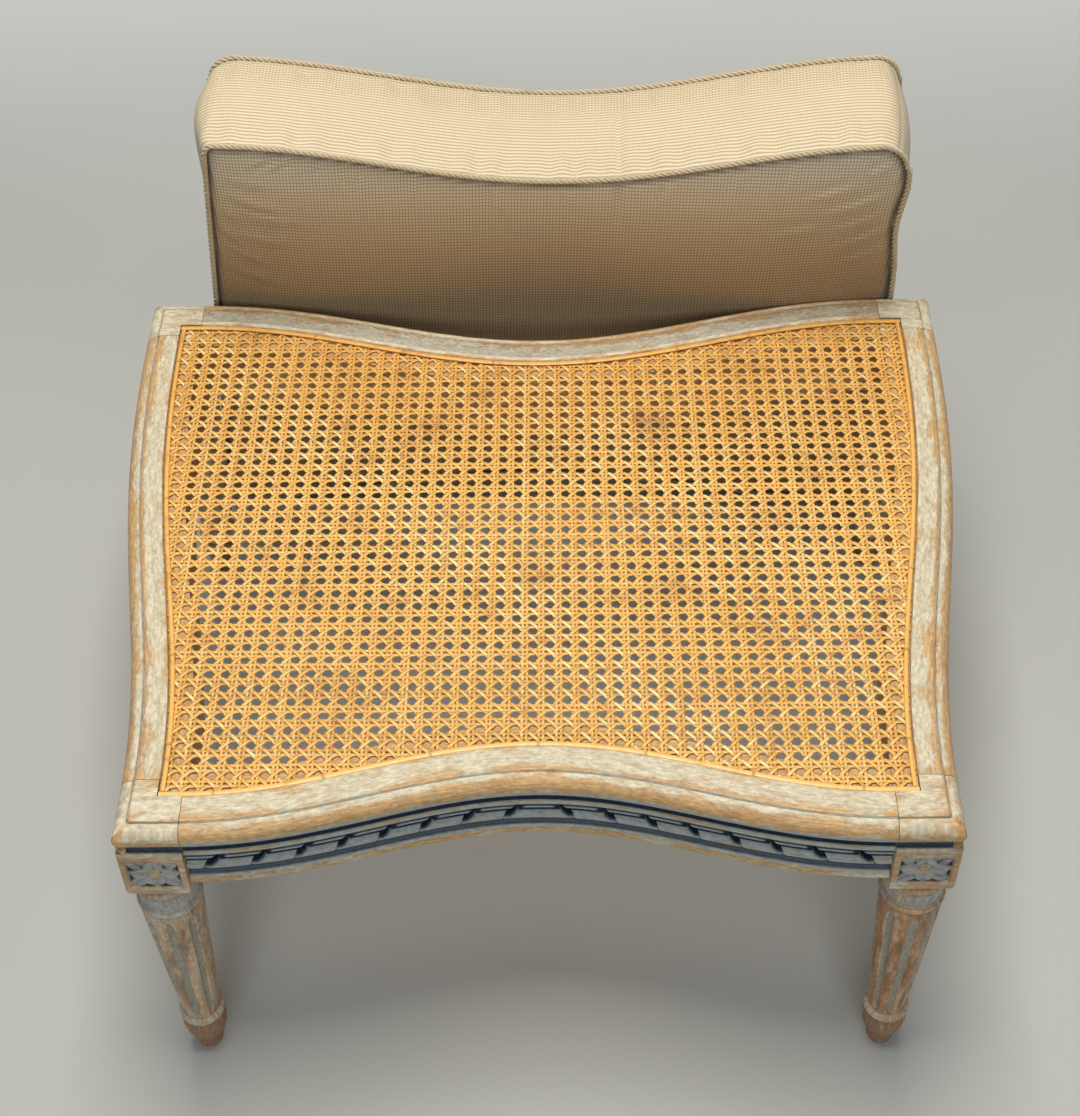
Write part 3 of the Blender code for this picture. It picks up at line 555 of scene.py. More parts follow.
def worn_paint():
    """Cream, grey and slate paint rubbed through to the wood on the raised edges, with slate also mixed in as
    painted shade.
    """
    f = Finish("worn_paint", 0.5, 0.35)
    colours = f.colours
    grain = f.attribute("grain", "Vector")
    along = f.stretched(grain, (0.34, 1.0, 1.0))
    blotch = f.noise(along, 75.0, 6.0, 0.68)
    patch = f.noise(grain, 20.0, 4.0, 0.55)
    crumb = f.noise(grain, 320.0, 5.0, 0.75)
    wash = f.noise(along, 150.0, 6.0, 0.72)
    fibre = f.noise(f.stretched(grain, (0.05, 1.0, 1.0)), 900.0, 3.0, 0.6)
    streak = f.noise(f.stretched(grain, (0.22, 1.0, 1.0)), 130.0, 6.0, 0.7)
    fleck = f.noise(grain, 560.0, 2.0, 0.6)
    grey, hollow, pink, push = (f.attribute(name) for name in ("grey", "hollow", "blush", "wear"))
    for noise, amount in ((blotch, 1.7), (patch, 1.1), (crumb, 0.8)):
        push = f.plus(push, noise, amount, 0.5)
    bare = f.ease(push, 0.34, 0.70)
    film = f.mix(grey, colours.cream, colours.grey)
    warmth = f.math("MULTIPLY", f.ease(wash, 0.40, 0.68, 0.0, 0.70), f.ease(grey, 0.3, 1.0, 1.0, 0.3))
    film = f.vary(f.mix(warmth, film, colours.wash), crumb, 0.3, 0.75, 0.86, 1.06)
    timber = f.vary(colours.wood, fibre, 0.25, 0.8, 0.66, 1.22)
    timber = f.tint(timber, (0.70, 0.53, 0.32), wash, 0.5, 0.74, 0.0, 0.6)
    timber = f.tint(timber, (0.46, 0.21, 0.075), patch, 0.34, 0.52, 0.55, 0.0)
    base = f.mix(f.math("MULTIPLY", bare, 0.94), film, timber)
    blush = f.math("MULTIPLY", pink, f.ease(streak, 0.40, 0.62, 1.0, 0.4))
    base = f.mix(blush, base, colours.blush)
    stain = f.mix(blush, f.vary(colours.foot, crumb, 0.3, 0.75, 0.6, 1.35), (0.50, 0.235, 0.075))
    soaked = f.plus(f.attribute("foot"), streak, 2.2, 0.5)
    base = f.tint(base, stain, soaked, 0.34, 0.74, 0.0, 0.92)
    base = f.vary(base, f.noise(along, 420.0, 4.0, 0.7), 0.30, 0.70, 0.70, 1.15)
    rubbed = f.vary(base, f.noise(along, 62.0, 5.0, 0.65), 0.36, 0.64, 0.54, 1.34)
    base = f.mix(pink, base, rubbed)
    # The hollow mark mixes in the slate paint of the grooves. Past 1, in the slots and round the ribbon, it
    # darkens the slate further as painted shade; on the ledge under the cane, the rebate, the torus's
    # underside, the quirks, the carving's low parts and the rear band it mixes slate in partly as painted
    # shade.
    slate = f.vary(colours.slate, crumb, 0.35, 0.8, 0.7, 1.5)
    slate = f.vary(slate, hollow, 1.05, 1.5, 1.0, 0.22)
    base = f.tint(base, slate, f.plus(hollow, crumb, 0.5, 0.5), 0.30, 0.80)
    speck = f.ease(fleck, 0.715, 0.77, 0.0, 0.7)
    base = f.mix(speck, base, (0.16, 0.11, 0.065))
    relief = f.math("MULTIPLY", bare, -0.35)
    for part, amount in ((fibre, 0.30), (crumb, 0.45), (speck, -0.5)):
        relief = f.plus(relief, part, amount)
    # Painted shade keeps no reflection: the specular is turned down where the hollow mark is high.
    f.tree.links.new(f.ease(hollow, 0.7, 1.3, 0.35, 0.03), f.shader.inputs["Specular IOR Level"])
    return f.finish(base, f.ease(push, 0.3, 0.8, 0.58, 0.42), relief, 0.0006, 0.9)


def peg_wood():
    f = Finish("beech_peg", 0.55, 0.35)
    rings = f.noise(f.place_on(), 900.0, 4.0, 0.6)
    return f.finish(f.vary(f.colours.peg, rings, 0.3, 0.75, 0.6, 1.2), None, rings, 0.0002)


def cane_skin(name, gloss):
    """Shiny split cane: each strand has its own tone, with brown stains over many, and painted shade towards
    the rear of the seat.
    """
    f = Finish(name, gloss)
    colours = f.colours
    tone = f.attribute("tone")
    spot = f.place_on()
    small = f.noise(spot, 150.0, 4.0, 0.6)
    streak = f.noise(f.stretched(f.attribute("strand", "Vector"), (0.5, 9.0, 1.0)), 190.0, 4.0, 0.6)
    base = f.tint(colours.cane, colours.pale_cane, tone, 0.45, 1.0)
    base = f.tint(base, colours.dark_cane, tone, 0.40, 0.0, 0.0, 0.55)
    base = f.tint(base, colours.dark_cane, streak, 0.52, 0.78, 0.0, 0.42)
    base = f.tint(base, colours.pale_cane, streak, 0.42, 0.2, 0.0, 0.35)
    blot = f.plus(f.math("MULTIPLY", f.noise(spot, 26.0, 5.0, 0.62), 0.62), small, 0.38)
    base = f.tint(base, (0.47, 0.185, 0.05), blot, 0.52, 0.66, 0.0, 0.6)
    # Painted shade: the cane is darkened towards the rear of the seat, where the cushion shades it.
    base = f.mix(f.ease(f.parts(spot)[1], -0.05, 0.17), base, (0.90, 0.835, 0.74), "MULTIPLY")
    roughness = f.ease(small, 0.3, 0.7, gloss - 0.06, gloss + 0.12)
    return f.finish(base, roughness, streak, 0.00015, 0.6)


def check_cloth():
    """Fine two-way check that follows the cloth, with the weave's own small relief, painted shade along the
    seams, and painted shade and skylight on the front panel.
    """
    sizes = bpy.context.scene.cushion_sizes
    f = Finish("check_cloth", 0.85, 0.2, FABRIC_SHEEN)
    cloth = f.attribute("cloth", "Vector")
    drift = f.noise(f.stretched(cloth, (1.0, 1.0, 3.0)), 30.0, 3.0, 0.5)
    first, second, place_kind = f.parts(cloth)
    lines = []
    for part, pitch in ((first, sizes.check_across), (second, sizes.check_along)):
        wave = f.math("PINGPONG", f.math("DIVIDE", f.plus(part, drift, 0.0016), pitch), 0.5)
        lines.append(f.ease(wave, 0.14, 0.27, 1.0, 0.0))
    boxed = f.ease(place_kind, 1.0, 1.6)
    rear = f.math("SUBTRACT", f.ease(second, -0.040, -0.005, 0.45, 0.10), 0.82)
    across = f.math("MULTIPLY", lines[0], f.math("ADD", f.math("MULTIPLY", boxed, rear), 0.82))
    along = f.math("MULTIPLY", lines[1], f.ease(boxed, 0.0, 1.0, 0.86, 0.80))
    weave = f.math("SUBTRACT", f.math("ADD", across, along), f.math("MULTIPLY", across, along))
    slub = f.noise(f.stretched(cloth, (1.0, 8.0, 1.0)), 420.0, 3.0, 0.6)
    base = f.vary(f.mix(weave, f.colours.cloth, f.colours.check), slub, 0.2, 0.8, 0.86, 1.10)
    mottle = f.noise(f.place_on(), 14.0, 4.0, 0.55)
    base = f.tint(base, (0.56, 0.42, 0.27), mottle, 0.5, 0.8, 0.0, 0.30)
    # Painted shade and light: the front panel is darkened and browned down towards the seat, where the stool
    # shades it, and tinted blue and lightened near its upper edge as painted skylight.
    grime_and_painted_light = f.attribute("grime_and_painted_light")
    base = f.mix(grime_and_painted_light, base, (0.68, 0.585, 0.47), "MULTIPLY")
    base = f.mix(f.math("MULTIPLY", grime_and_painted_light, -1.0), base, (1.08, 1.17, 1.36), "MULTIPLY")
    # Painted shade along the seams and the boxing's join.
    base = f.mix(f.math("MULTIPLY", f.attribute("painted_seam_shade"), 0.9), base, (0.06, 0.055, 0.055))
    relief = f.math("SUBTRACT", f.math("MULTIPLY", slub, 0.5), f.math("MULTIPLY", weave, 0.6))
    return f.finish(base, None, relief, 0.0004, 0.7)


def twisted_cord():
    f = Finish("twisted_piping", 0.7, 0.25, FABRIC_SHEEN)
    spot = f.place_on()
    fibre = f.noise(spot, 1400.0, 3.0, 0.6)
    base = f.vary(f.colours.cord, fibre, 0.25, 0.75, 0.72, 1.15)
    base = f.tint(base, (0.42, 0.32, 0.19), f.noise(spot, 40.0, 3.0, 0.5), 0.5, 0.75, 0.0, 0.4)
    return f.finish(base, None, fibre, 0.0002)


def seen_directly(tree):
    """1 for what the camera, a mirror or glass sees, 0 for the light that falls on things."""
    path = place(tree, "ShaderNodeLightPath").outputs
    seen = path["Is Camera Ray"]
    for name in ("Is Glossy Ray", "Is Transmission Ray"):
        seen = put(tree, "ShaderNodeMath", {0: seen, 1: path[name]}, operation="MAXIMUM")
    return seen


def plain_floor():
    """A pale floor that turns paler away from the object. Its glow is seen directly and in the object's
    reflections, and lights nothing else.
    """
    f = Finish("plain_floor", 0.8, 0.2)
    spot = f.place_on()
    base = f.vary(f.colours.floor, f.noise(spot, 1.5, 4.0, 0.5), 0.3, 0.7, 0.97, 1.03)
    behind = f.ease(f.parts(spot)[1], 0.55, 1.7, 0.0, 0.30)
    far = f.node("ShaderNodeVectorMath", {0: spot}, out="Value", operation="LENGTH")
    glow = f.math("ADD", behind, f.ease(far, 1.0, 5.2, 0.0, 0.56))
    f.shader.inputs["Emission Color"].default_value = PALE
    glow = f.math("MULTIPLY", glow, seen_directly(f.tree))
    f.tree.links.new(glow, f.shader.inputs["Emission Strength"])
    return f.finish(base)


# Rails

JOINT_GAP = 0.0004  # open joint between a rail and a block
RAIL_STEP = 0.0009  # length of a rail's mesh cells
SLOT_GROUND = 0.0118  # deepest cut of the ribbon behind the block face
# For each rail: rear or not, side, wear of the torus, band and outer edge with grime and painted shade (the
# rear band is darkened where the cushion shades it), seed of the grain
RAILS = {
    "front_rail": (False, None, (1.05, 0.08, 0.1, 0.0), 0.3),
    "rear_rail": (True, None, (1.0, 0.04, 0.3, 0.50), 1.7),
    "left_rail": (None, -1, (1.15, 0.06, 0.3, 0.06), 2.9),
    "right_rail": (None, 1, (1.15, 0.08, 0.28, 0.10), 4.1),
}


def rail_section(plan, band, ledge, torus_wear, band_wear, edge_wear, grime_and_painted_light):
    """Rows round a rail's section: offset out from the seat's edge, z, wear, hollow, grey, ribbon share."""
    s = plan.sizes
    face = band + plan.moulding
    top = s.height
    rows = []

    def row(sink, z, wear=0.0, hollow=0.0, grey=0.0, ribbon=-1.0):
        rows.append((face - sink, z, wear, hollow, grey, ribbon))

    # The rebate's wall under the cane's edge is darkened with slate as painted shade.
    row(face, top - s.rebate, 0.8, 0.35)
    row(face, top - 0.0012, 0.35, 0.2)
    row(face - 0.0004, top - 0.0003, 0.55)
    row(face - 0.0012, top, 0.45)
    # The flat band is darkened with slate for grime, and on the rear rail also as painted shade where the
    # cushion shades it.
    for share, wear in ((0.82, 0.24), (0.6, 0.2), (0.4, 0.22), (0.24, 0.30), (0.14, 0.42), (0.06, 0.6)):
        row(plan.moulding + band * share, top, wear + band_wear + edge_wear * (1 - share) ** 3, grime_and_painted_light)
    row(plan.moulding + 0.0012, top, 0.62, 0.12, 0.3)
    row(plan.moulding + 0.0004, top - 0.0003, 0.6, 0.30, 0.6)
    # The quirk is darkened with slate, partly paint and partly painted shade.
    row(plan.moulding - s.quirk_width * 0.4, top - s.quirk_depth * 0.85, 0.3, 0.36, 0.6)
    row(plan.moulding - s.quirk_width * 0.6, top - s.quirk_depth, 0.3, 0.36, 0.6)
    degrees = (-90, -78, -45, -22, -8, 4, 15, 30, 52, 72, 90)
    wears = np.array((0.0, 0.0, 0.0, 0.05, 0.24, 0.52, 0.82, 0.86, 0.72, 0.44, 0.36)) * torus_wear
    # The torus turns grey and then slate towards its underside, and takes slate next to the quirk, partly
    # paint and partly painted shade where it overhangs the groove.
    for angle in arc(19, 90, -90):
        turn = math.degrees(angle)
        hollow = 0.40 * ease(78, 90, turn) + 0.22 * ease(-8, -30, turn) + 0.78 * ease(-32, -50, turn)
        row(
            s.torus * (1 - math.cos(angle)),
            plan.torus_z + s.torus * math.sin(angle),
            np.interp(turn, degrees, wears),
            hollow,
            0.9 * ease(14, -10, turn),
        )
    z = plan.groove_z - s.groove
    row(s.torus, plan.groove_z - 0.0004, 0.0, 1.0)
    row(s.torus, z + 0.0003, 0.0, 1.0)
    row(s.torus - 0.0012, z, 0.0, 0.9)
    row(s.face_sink + 0.0016, z, 0.0, 0.95)
    row(s.face_sink + 0.0010, z, 0.1, 0.25, 0.45)
    row(s.face_sink + 0.0003, z - 0.0003, 0.5, 0.0, 0.5)
    row(s.face_sink, z - 0.0011, 0.42, 0.0, 0.6)
    row(s.face_sink, z - s.fillet * 0.55, 0.3, 0.0, 0.65)
    row(s.face_sink, z - s.fillet + 0.0009, 0.35, 0.0, 0.65)
    row(s.face_sink + 0.0004, z - s.fillet + 0.0002, 0.4, 0.3, 0.6)
    z -= s.fillet
    ribbon_top = z

    def ribbon_row(sink, z, wear, hollow, grey):
        row(sink, z, wear, hollow, grey, (ribbon_top - z) / s.ribbon)

    # Slate in the grooves above and below the ribbon's strip, darkened past the paint as painted shade where
    # the hollow mark goes above 1.
    ribbon_row(0.0088, z - 0.0002, 0.0, 1.15, 0.0)
    ribbon_row(0.0088, z - 0.0022, 0.0, 1.15, 0.0)
    for angle in arc(11, 80, -80):
        rise = math.sin(angle)
        shade = 0.40 + 0.75 * ease(0.30, 0.62, rise) + 0.5 * ease(-0.7, -1.0, rise)
        ribbon_row(0.0078 - 0.0027 * math.cos(angle), z - 0.0050 + 0.0028 * rise, 0.06, shade, 1.0)
    ribbon_row(0.0096, z - 0.0082, 0.0, 1.2, 0.0)
    ribbon_row(0.0096, z - 0.0100, 0.0, 1.2, 0.0)
    half = (s.ribbon - 0.0102) / 2
    for angle in arc(15, 84, -84):
        rise = math.sin(angle)
        sink = 0.0088 - 0.0046 * math.cos(angle)
        shade = 1.2 * ease(0.86, 0.95, rise) + 0.60 * ease(-0.50, -0.95, rise)
        ribbon_row(sink, z - 0.0102 - half + half * rise, 0.26 * math.cos(angle) ** 2, shade, 0.85)
    z -= s.ribbon
    row(0.0092, z - 0.0004, 0.0, 0.85, 1.0)
    z -= s.low_groove
    row(0.0092, z + 0.0010, 0.0, 0.72, 1.0)
    row(0.0084, z, 0.0, 0.62, 1.0)
    row(0.0062, z, 0.0, 0.52, 1.0)
    row(0.0055, z - 0.0002, 0.05, 0.1, 0.7)
    row(0.0046, z - 0.0009, 0.12, 0.0, 0.6)
    row(0.0044, z - 0.0018, 0.25, 0.1, 0.5)
    row(0.0046, z - 0.0024, 0.5, 0.5, 0.3)
    row(s.face_sink + 0.0005, z - 0.0028, 0.7, 0.1)
    row(s.face_sink, z - 0.0040, 0.62, 0.0, 0.2)
    row(s.face_sink, plan.rail_foot + 0.0016, 0.55, 0.0, 0.2)
    row(s.face_sink + 0.0004, plan.rail_foot + 0.0005, 0.65)
    row(s.face_sink + 0.0014, plan.rail_foot, 0.5)
    row(face * 0.6, plan.rail_foot, 0.55)
    row(face + ledge, plan.rail_foot, 0.8)
    # The ledge under the cane is bare wood with some slate mixed in as painted shade from the cane above it.
    row(face + ledge, top - s.rebate, 1.1, 0.36)
    row(face + 0.0008, top - s.rebate, 1.1, 0.36)
    return np.array(rows)


def slot_mask(sizes, run, share):
    """How deep the ribbon is cut at a run from the rail's middle and a share down its height, 0 to 1."""
    pitch = sizes.ribbon_pitch
    far = np.abs(run)
    far = far - 0.0065 * np.sin(np.pi * np.clip(far / 0.2, 0.0, 1.0))
    lean = (0.30 - share) * sizes.ribbon * 0.85
    nearest = (np.floor(far / pitch) + 0.5) * pitch
    shares, widths = (0.0, 0.14, 0.36, 0.62, 0.80, 0.97), (0.45, 0.85, 1.05, 0.9, 0.5, 0.2)
    half = sizes.slot_width / 2 * np.interp(share, shares, widths)
    best = np.zeros_like(far)
    for step in (-1, 0, 1):
        away = np.abs(far - (nearest + step * pitch) + lean)
        best = np.maximum(best, ease(1.0, 0.74, away / half))
    return best * ease(1.02, 0.9, share)


def make_rail(name, plan, rear, side, wears, seed):
    """A carved rail swept along its edge of the seat, butting against the blocks."""
    s = plan.sizes
    if side is None:
        joint = plan.joint_rear_x if rear else plan.joint_front_x
        band, ledge = s.front_band, s.block - plan.moulding - s.front_band + 0.0085
    else:
        joint = plan.joint_y
        band, ledge = s.side_band, s.block - plan.moulding - s.side_band
    section = rail_section(plan, band, ledge, *wears)
    rows, around = int(2 * joint / RAIL_STEP), len(section)
    along = np.repeat(np.linspace(JOINT_GAP - joint, joint - JOINT_GAP, rows), around)
    offset, z, wear, hollow, grey, ribbon = (np.tile(column, rows) for column in section.T)
    carved = ribbon >= 0
    cut = np.where(carved, slot_mask(s, along, np.where(carved, ribbon, 0.0)), 0.0)
    depth = s.slot_depth * np.interp(ribbon, (0.0, 0.5, 0.95), (1.0, 0.95, 0.35))
    ground = band + plan.moulding - SLOT_GROUND
    offset = np.where(carved, np.maximum(offset - cut * depth, np.minimum(offset, ground)), offset)
    # The slots take slate paint, darkened past the paint as painted shade in their upper part, where the
    # value goes above 1.
    slot_slate_and_shade = np.interp(ribbon, (0.0, 0.74, 0.84, 0.97), (1.6, 1.6, 0.68, 0.45))
    x, y = plan.long_points(rear, along, offset) if side is None else plan.side_points(side, along, offset)
    girth = np.tile(run_along(section[:, :2]), rows)
    blank = np.zeros(len(along))
    attributes = {
        "grain": columns(along, girth, seed),
        "wear": wear * (1 - cut) + 0.12 * ease(0.010, 0.0, joint - np.abs(along)),
        "hollow": np.maximum(hollow, cut * slot_slate_and_shade),
        "grey": grey,
        "foot": blank,
        "blush": blank,
    }
    return mesh_object(name, columns(x, y + MIDDLE_Y, z), grid_faces(rows, around), attributes)


class STOOL_OT_rails(bpy.types.Operator):
    """Makes the four carved rails"""

    bl_idname = "stool.rails"
    bl_label = "Rails"

    def execute(self, context):
        plan = Plan(context.scene.stool_sizes)
        paint = finish_material("worn_paint", worn_paint)
        for node, options in RAILS.items():
            rail = make_rail("carved_" + node, plan, *options)
            rail.data.materials.append(paint)
            finish_piece(rail, "stool", "worn_paint", node)
        return {"FINISHED"}


# Legs

SIDE_POINTS = 64  # points on each side of a block, and a quarter of a leg's round
ROUND_POINTS = 4 * SIDE_POINTS
INNER_BEND = 0.55  # where an inner side of a block bends, as a share of its points
SHAFT_WEAR = 0.72  # only the fluted shaft has this wear
MARKS = ("wear", "hollow", "grey", "foot", "blush")
WEAR_LIFTS = dict(zip(LEGS, (-0.06, 0.15, -0.28, -0.10)))
GRAIN_SEED, GRAIN_STEP, BLOCK_GRAIN = 6.0, 1.3, 0.37  # the first leg's, the next leg's, the block's
ROSETTE_SCALE = 1.04
PEG_COVER = (0.0044, 0.0034, 0.37)  # a flat leaf over a peg's end: reach, where it is full, height
# Levels of the foot: z, radius, hollow, stain
FOOT_ROWS = (
    (0.0000, 0.0090, 0.2, 1),
    (0.0007, 0.0101, 0.0, 0.82),
    (0.0030, 0.0108, 0.0, 0.82),
    (0.0075, 0.0111, 0.0, 0.82),
    (0.0108, 0.0110, 0.1, 1),
    (0.0120, 0.0104, 0.5, 1),
    (0.0128, 0.0101, 0.8, 1),
    (0.0136, 0.0106, 0.4, 1),
    (0.0155, 0.0122, 0.0, 0.82),
    (0.0195, 0.0143, 0.0, 0.82),
    (0.0245, 0.0160, 0.0, 0.82),
    (0.0300, 0.0172, 0.0, 0.82),
    (0.0360, 0.0178, 0.0, 0.82),
    (0.0420, 0.0177, 0.0, 0.82),
    (0.0455, 0.0173, 0.1, 0.9),
    (0.0466, 0.0169, 0.6, 0.8),
)
# Levels of the neck: height above its start, radius, wear, hollow, grey, stain
NECK_ROWS = (
    (0.0002, 0.0226, 0.1, 0.5, 0.9, 0),
    (0.0008, 0.0236, 0.3, 0.1, 0.9, 0),
    (0.0020, 0.0236, 0.3, 0.0, 0.9, 0),
    (0.0026, 0.0228, 0.1, 0.5, 0.9, 0),
    (0.0050, 0.0225, 0.24, 0.05, 0.85, 0.1),
    (0.0090, 0.0224, 0.24, 0.05, 0.85, 0.1),
    (0.0130, 0.0225, 0.24, 0.05, 0.85, 0.1),
    (0.0154, 0.0228, 0.1, 0.4, 0.9, 0),
    (0.0160, 0.0235, 0.3, 0.0, 0.9, 0),
    (0.0172, 0.0235, 0.3, 0.1, 0.9, 0),
    (0.0178, 0.0227, 0.1, 0.5, 0.9, 0),
)


def rosette(across, up):
    """Relief of the carved flower in its panel, as height 0 to 1 and boss share. Both run from -1 to 1."""
    height = np.zeros_like(across)

    def petal(along, beside, start, stop, width, top):
        share = np.clip((along - start) / (stop - start), 0.0, 1.0)
        half = width * np.sin(np.pi * share**0.72) ** 0.7 + 1e-6
        lobe = np.abs(beside) / half
        within = ease(1.0, 0.86, lobe) * (share > 0) * (share < 1)
        vein = 0.16 * np.exp(-((beside / 0.040) ** 2)) * ease(0.95, 0.6, share)
        cup = 0.42 + 0.58 * np.clip(lobe, 0.0, 1.0) ** 2 - vein
        curl = 0.55 + 0.45 * np.sin(np.pi * share**1.25)
        return top * within * cup * curl

    for along, beside in ((across, up), (-across, up), (up, across), (-up, across)):
        height = np.maximum(height, petal(along, beside, 0.14, 1.06, 0.43, 1.0))
    root = math.sqrt(0.5)
    for turn_x, turn_y in ((1, 1), (1, -1), (-1, 1), (-1, -1)):
        along = (across * turn_x + up * turn_y) * root
        beside = (across * turn_x - up * turn_y) * root
        height = np.maximum(height, petal(along, beside, 0.46, 1.44, 0.35, 0.74))
    reach = np.hypot(across, up)
    boss = ease(0.27, 0.20, reach)
    dome = np.sqrt(np.clip(1 - (reach / 0.29) ** 2, 0.0, 1.0))
    dimple = 0.25 * np.exp(-((reach / 0.07) ** 2))
    middle = np.maximum(boss * (0.45 + 0.62 * dome - dimple), height * (1 - boss))
    height = np.where(boss > 0.02, middle, height)
    return height, boss


def turned_rows(sizes):
    """Levels of the turned leg from the floor up: z, radius, flute, wear, hollow, grey, foot."""
    rows = [(z, radius, 0, 0, hollow, 0, stain) for z, radius, hollow, stain in FOOT_ROWS]

    def bead(middle, half, radius, out, wear, grey, stain, first=-80):
        for angle in arc(9, first, 80):
            z = middle + half * math.sin(angle)
            rows.append((z, radius + out * math.cos(angle), 0, wear, 0, grey, stain))

    bead(0.0508, 0.0040, 0.0158, 0.0027, 0.40, 0.3, 0.2)
    rows.append((0.0553, 0.0152, 0, 0.2, 0.6, 0.5, 0))
    low, high = 0.0556, sizes.block_foot - 0.032
    spans = ((0.0, 0.056, 11), (0.09, 0.91, 22), (0.944, 1.0, 11))
    for share in np.concatenate([np.linspace(*span) for span in spans]):
        z = low + (high - low) * share
        radius = 0.0151 + 0.0091 * share + 0.0004 * math.sin(math.pi * share)
        near = min(z - low - 0.0030, (high - 0.0060 - z) * 0.6) / 0.0090
        flute = math.sqrt(max(0.0, 1 - (1 - min(max(near, 0.0), 1.0)) ** 2))
        rows.append((z, radius, flute, SHAFT_WEAR, 0.0, 0.15, 0))
    rows.append((high + 0.0004, 0.0226, 0, 0.1, 0.6, 0.5, 0))
    bead(high + 0.0036, 0.0032, 0.0222, 0.0028, 0.46, 0.6, 0.12, -75)
    neck = high + 0.007
    rows += [(neck + up, radius, 0, *marks) for up, radius, *marks in NECK_ROWS]
    bead(neck + 0.018 + 0.0034, 0.0033, 0.0217, 0.0028, 0.62, 0.4, 0.12)
    rows.append((sizes.block_foot, 0.0190, 0, 0.1, 0.7, 0.4, 0))
    return rows


def block_rows(plan):
    """Levels of a block's outer face from the bottom up: sink, z, wear, hollow, grey, notched."""
    s = plan.sizes
    rows = []
    start = s.block_foot + s.block_round
    for angle in arc(6, 0, 90):
        z = s.block_foot + s.block_round * (1 - math.cos(angle))
        rows.append((s.block_round * (1 - math.sin(angle)), z, 0.62, 0, 0, 0))
    top = plan.face_top
    for z in np.linspace(start, top - 0.0004, 66)[1:]:
        pale = float(ease(top - 0.0040, top - 0.0032, z))
        rows.append((0.0, float(z), 0.60 - 0.45 * pale, 0.0, 0.10 + 0.15 * pale, 0))
    rows += [
        (0.0004, top, 0.2, 0.2, 0.1, 0),
        (0.0038, top + 0.0003, 0.0, 1.0, 0.0, 0),
        (0.0040, plan.groove_z + 0.0012, 0.0, 1.0, 0.0, 0),
    ]
    under = -math.degrees(math.acos(1 - 0.0040 / s.torus))
    step = math.degrees(math.asin((s.height - s.rebate - plan.torus_z) / s.torus))
    degrees = (-90, -60, -40, -15, 10, 40, 70, 90)
    wears = (0.5, 0.8, 0.84, 0.72, 0.50, 0.36, 0.30, 0.36)
    # The block's torus takes slate next to the quirk and at its underside, partly paint and partly painted
    # shade.
    for i, turn in enumerate((*np.linspace(under, step, 13), *np.linspace(step, 90, 7))):
        angle = math.radians(turn)
        wear = float(np.interp(turn, degrees, wears))
        hollow = 0.5 * float(ease(84, 90, turn)) + 0.5 * float(ease(under + 5, under, turn))
        sink, z = s.torus * (1 - math.cos(angle)), plan.torus_z + s.torus * math.sin(angle)
        rows.append((sink, z, wear, hollow, 0.0, 1 if i > 12 else 0))
    return rows + [
        # The quirk is darkened with slate, partly paint and partly painted shade.
        (plan.moulding - s.quirk_width * 0.6, s.height - s.quirk_depth, 0.3, 0.42, 0.0, 1),
        (plan.moulding - s.quirk_width * 0.4, s.height - s.quirk_depth * 0.85, 0.3, 0.42, 0.0, 1),
        (plan.moulding, s.height - 0.0004, 0.6, 0.3, 0.0, 1),
        (plan.moulding + 0.0005, s.height - 0.0001, 0.6, 0.0, 0.0, 1),
        (plan.moulding + 0.0020, s.height, 0.36, 0.05, 0.0, 1),
    ]


def block_loop(plan, sink, z, notched):
    """One level of a block about the leg's axis, outer sides to +x and +y: x, y, way to the outer corner."""
    s = plan.sizes
    half = s.block / 2
    shrink = max(0.0, s.block_foot + s.block_round - z)
    inner = half - (s.block_round - math.sqrt(max(0.0, s.block_round**2 - shrink**2)))
    outer = half - sink
    share = np.linspace(0.0, 1.0, SIDE_POINTS + 1)[:-1]
    run = -inner + (outer + inner) * share
    back = run[::-1] + (outer + inner) / SIDE_POINTS
    cut_x = half - plan.moulding - s.side_band
    cut_y = half - plan.moulding - s.front_band
    early, late = (0.0, INNER_BEND, 1.0), (0.0, 1 - INNER_BEND, 1.0)
    if notched:
        first = np.interp(share, early, (outer, cut_x, cut_x))
        first_y = np.interp(share, early, (-inner, -inner, cut_y))
        last = np.interp(share, late, (cut_x, -inner, -inner))
        last_y = np.interp(share, late, (cut_y, cut_y, outer))
    else:
        first = np.interp(share, early, (outer, cut_x, -inner))
        last_y = np.interp(share, late, (-inner, cut_y, outer))
        first_y = last = np.full(SIDE_POINTS, -inner)
    x = np.concatenate([run, np.full(SIDE_POINTS, outer), first, last])
    y = np.concatenate([np.full(SIDE_POINTS, outer), back, first_y, last_y])
    near = np.concatenate([outer - run, outer - back, np.full(2 * SIDE_POINTS, np.inf)])
    radius = min(s.corner_round, outer)
    for i in np.nonzero(near < radius)[0]:
        turn = math.pi / 4 * (1 - near[i] / radius)
        a = math.pi / 2 - turn if i < SIDE_POINTS else turn
        x[i] = outer - radius + radius * math.cos(a)
        y[i] = outer - radius + radius * math.sin(a)
    return x, y, near


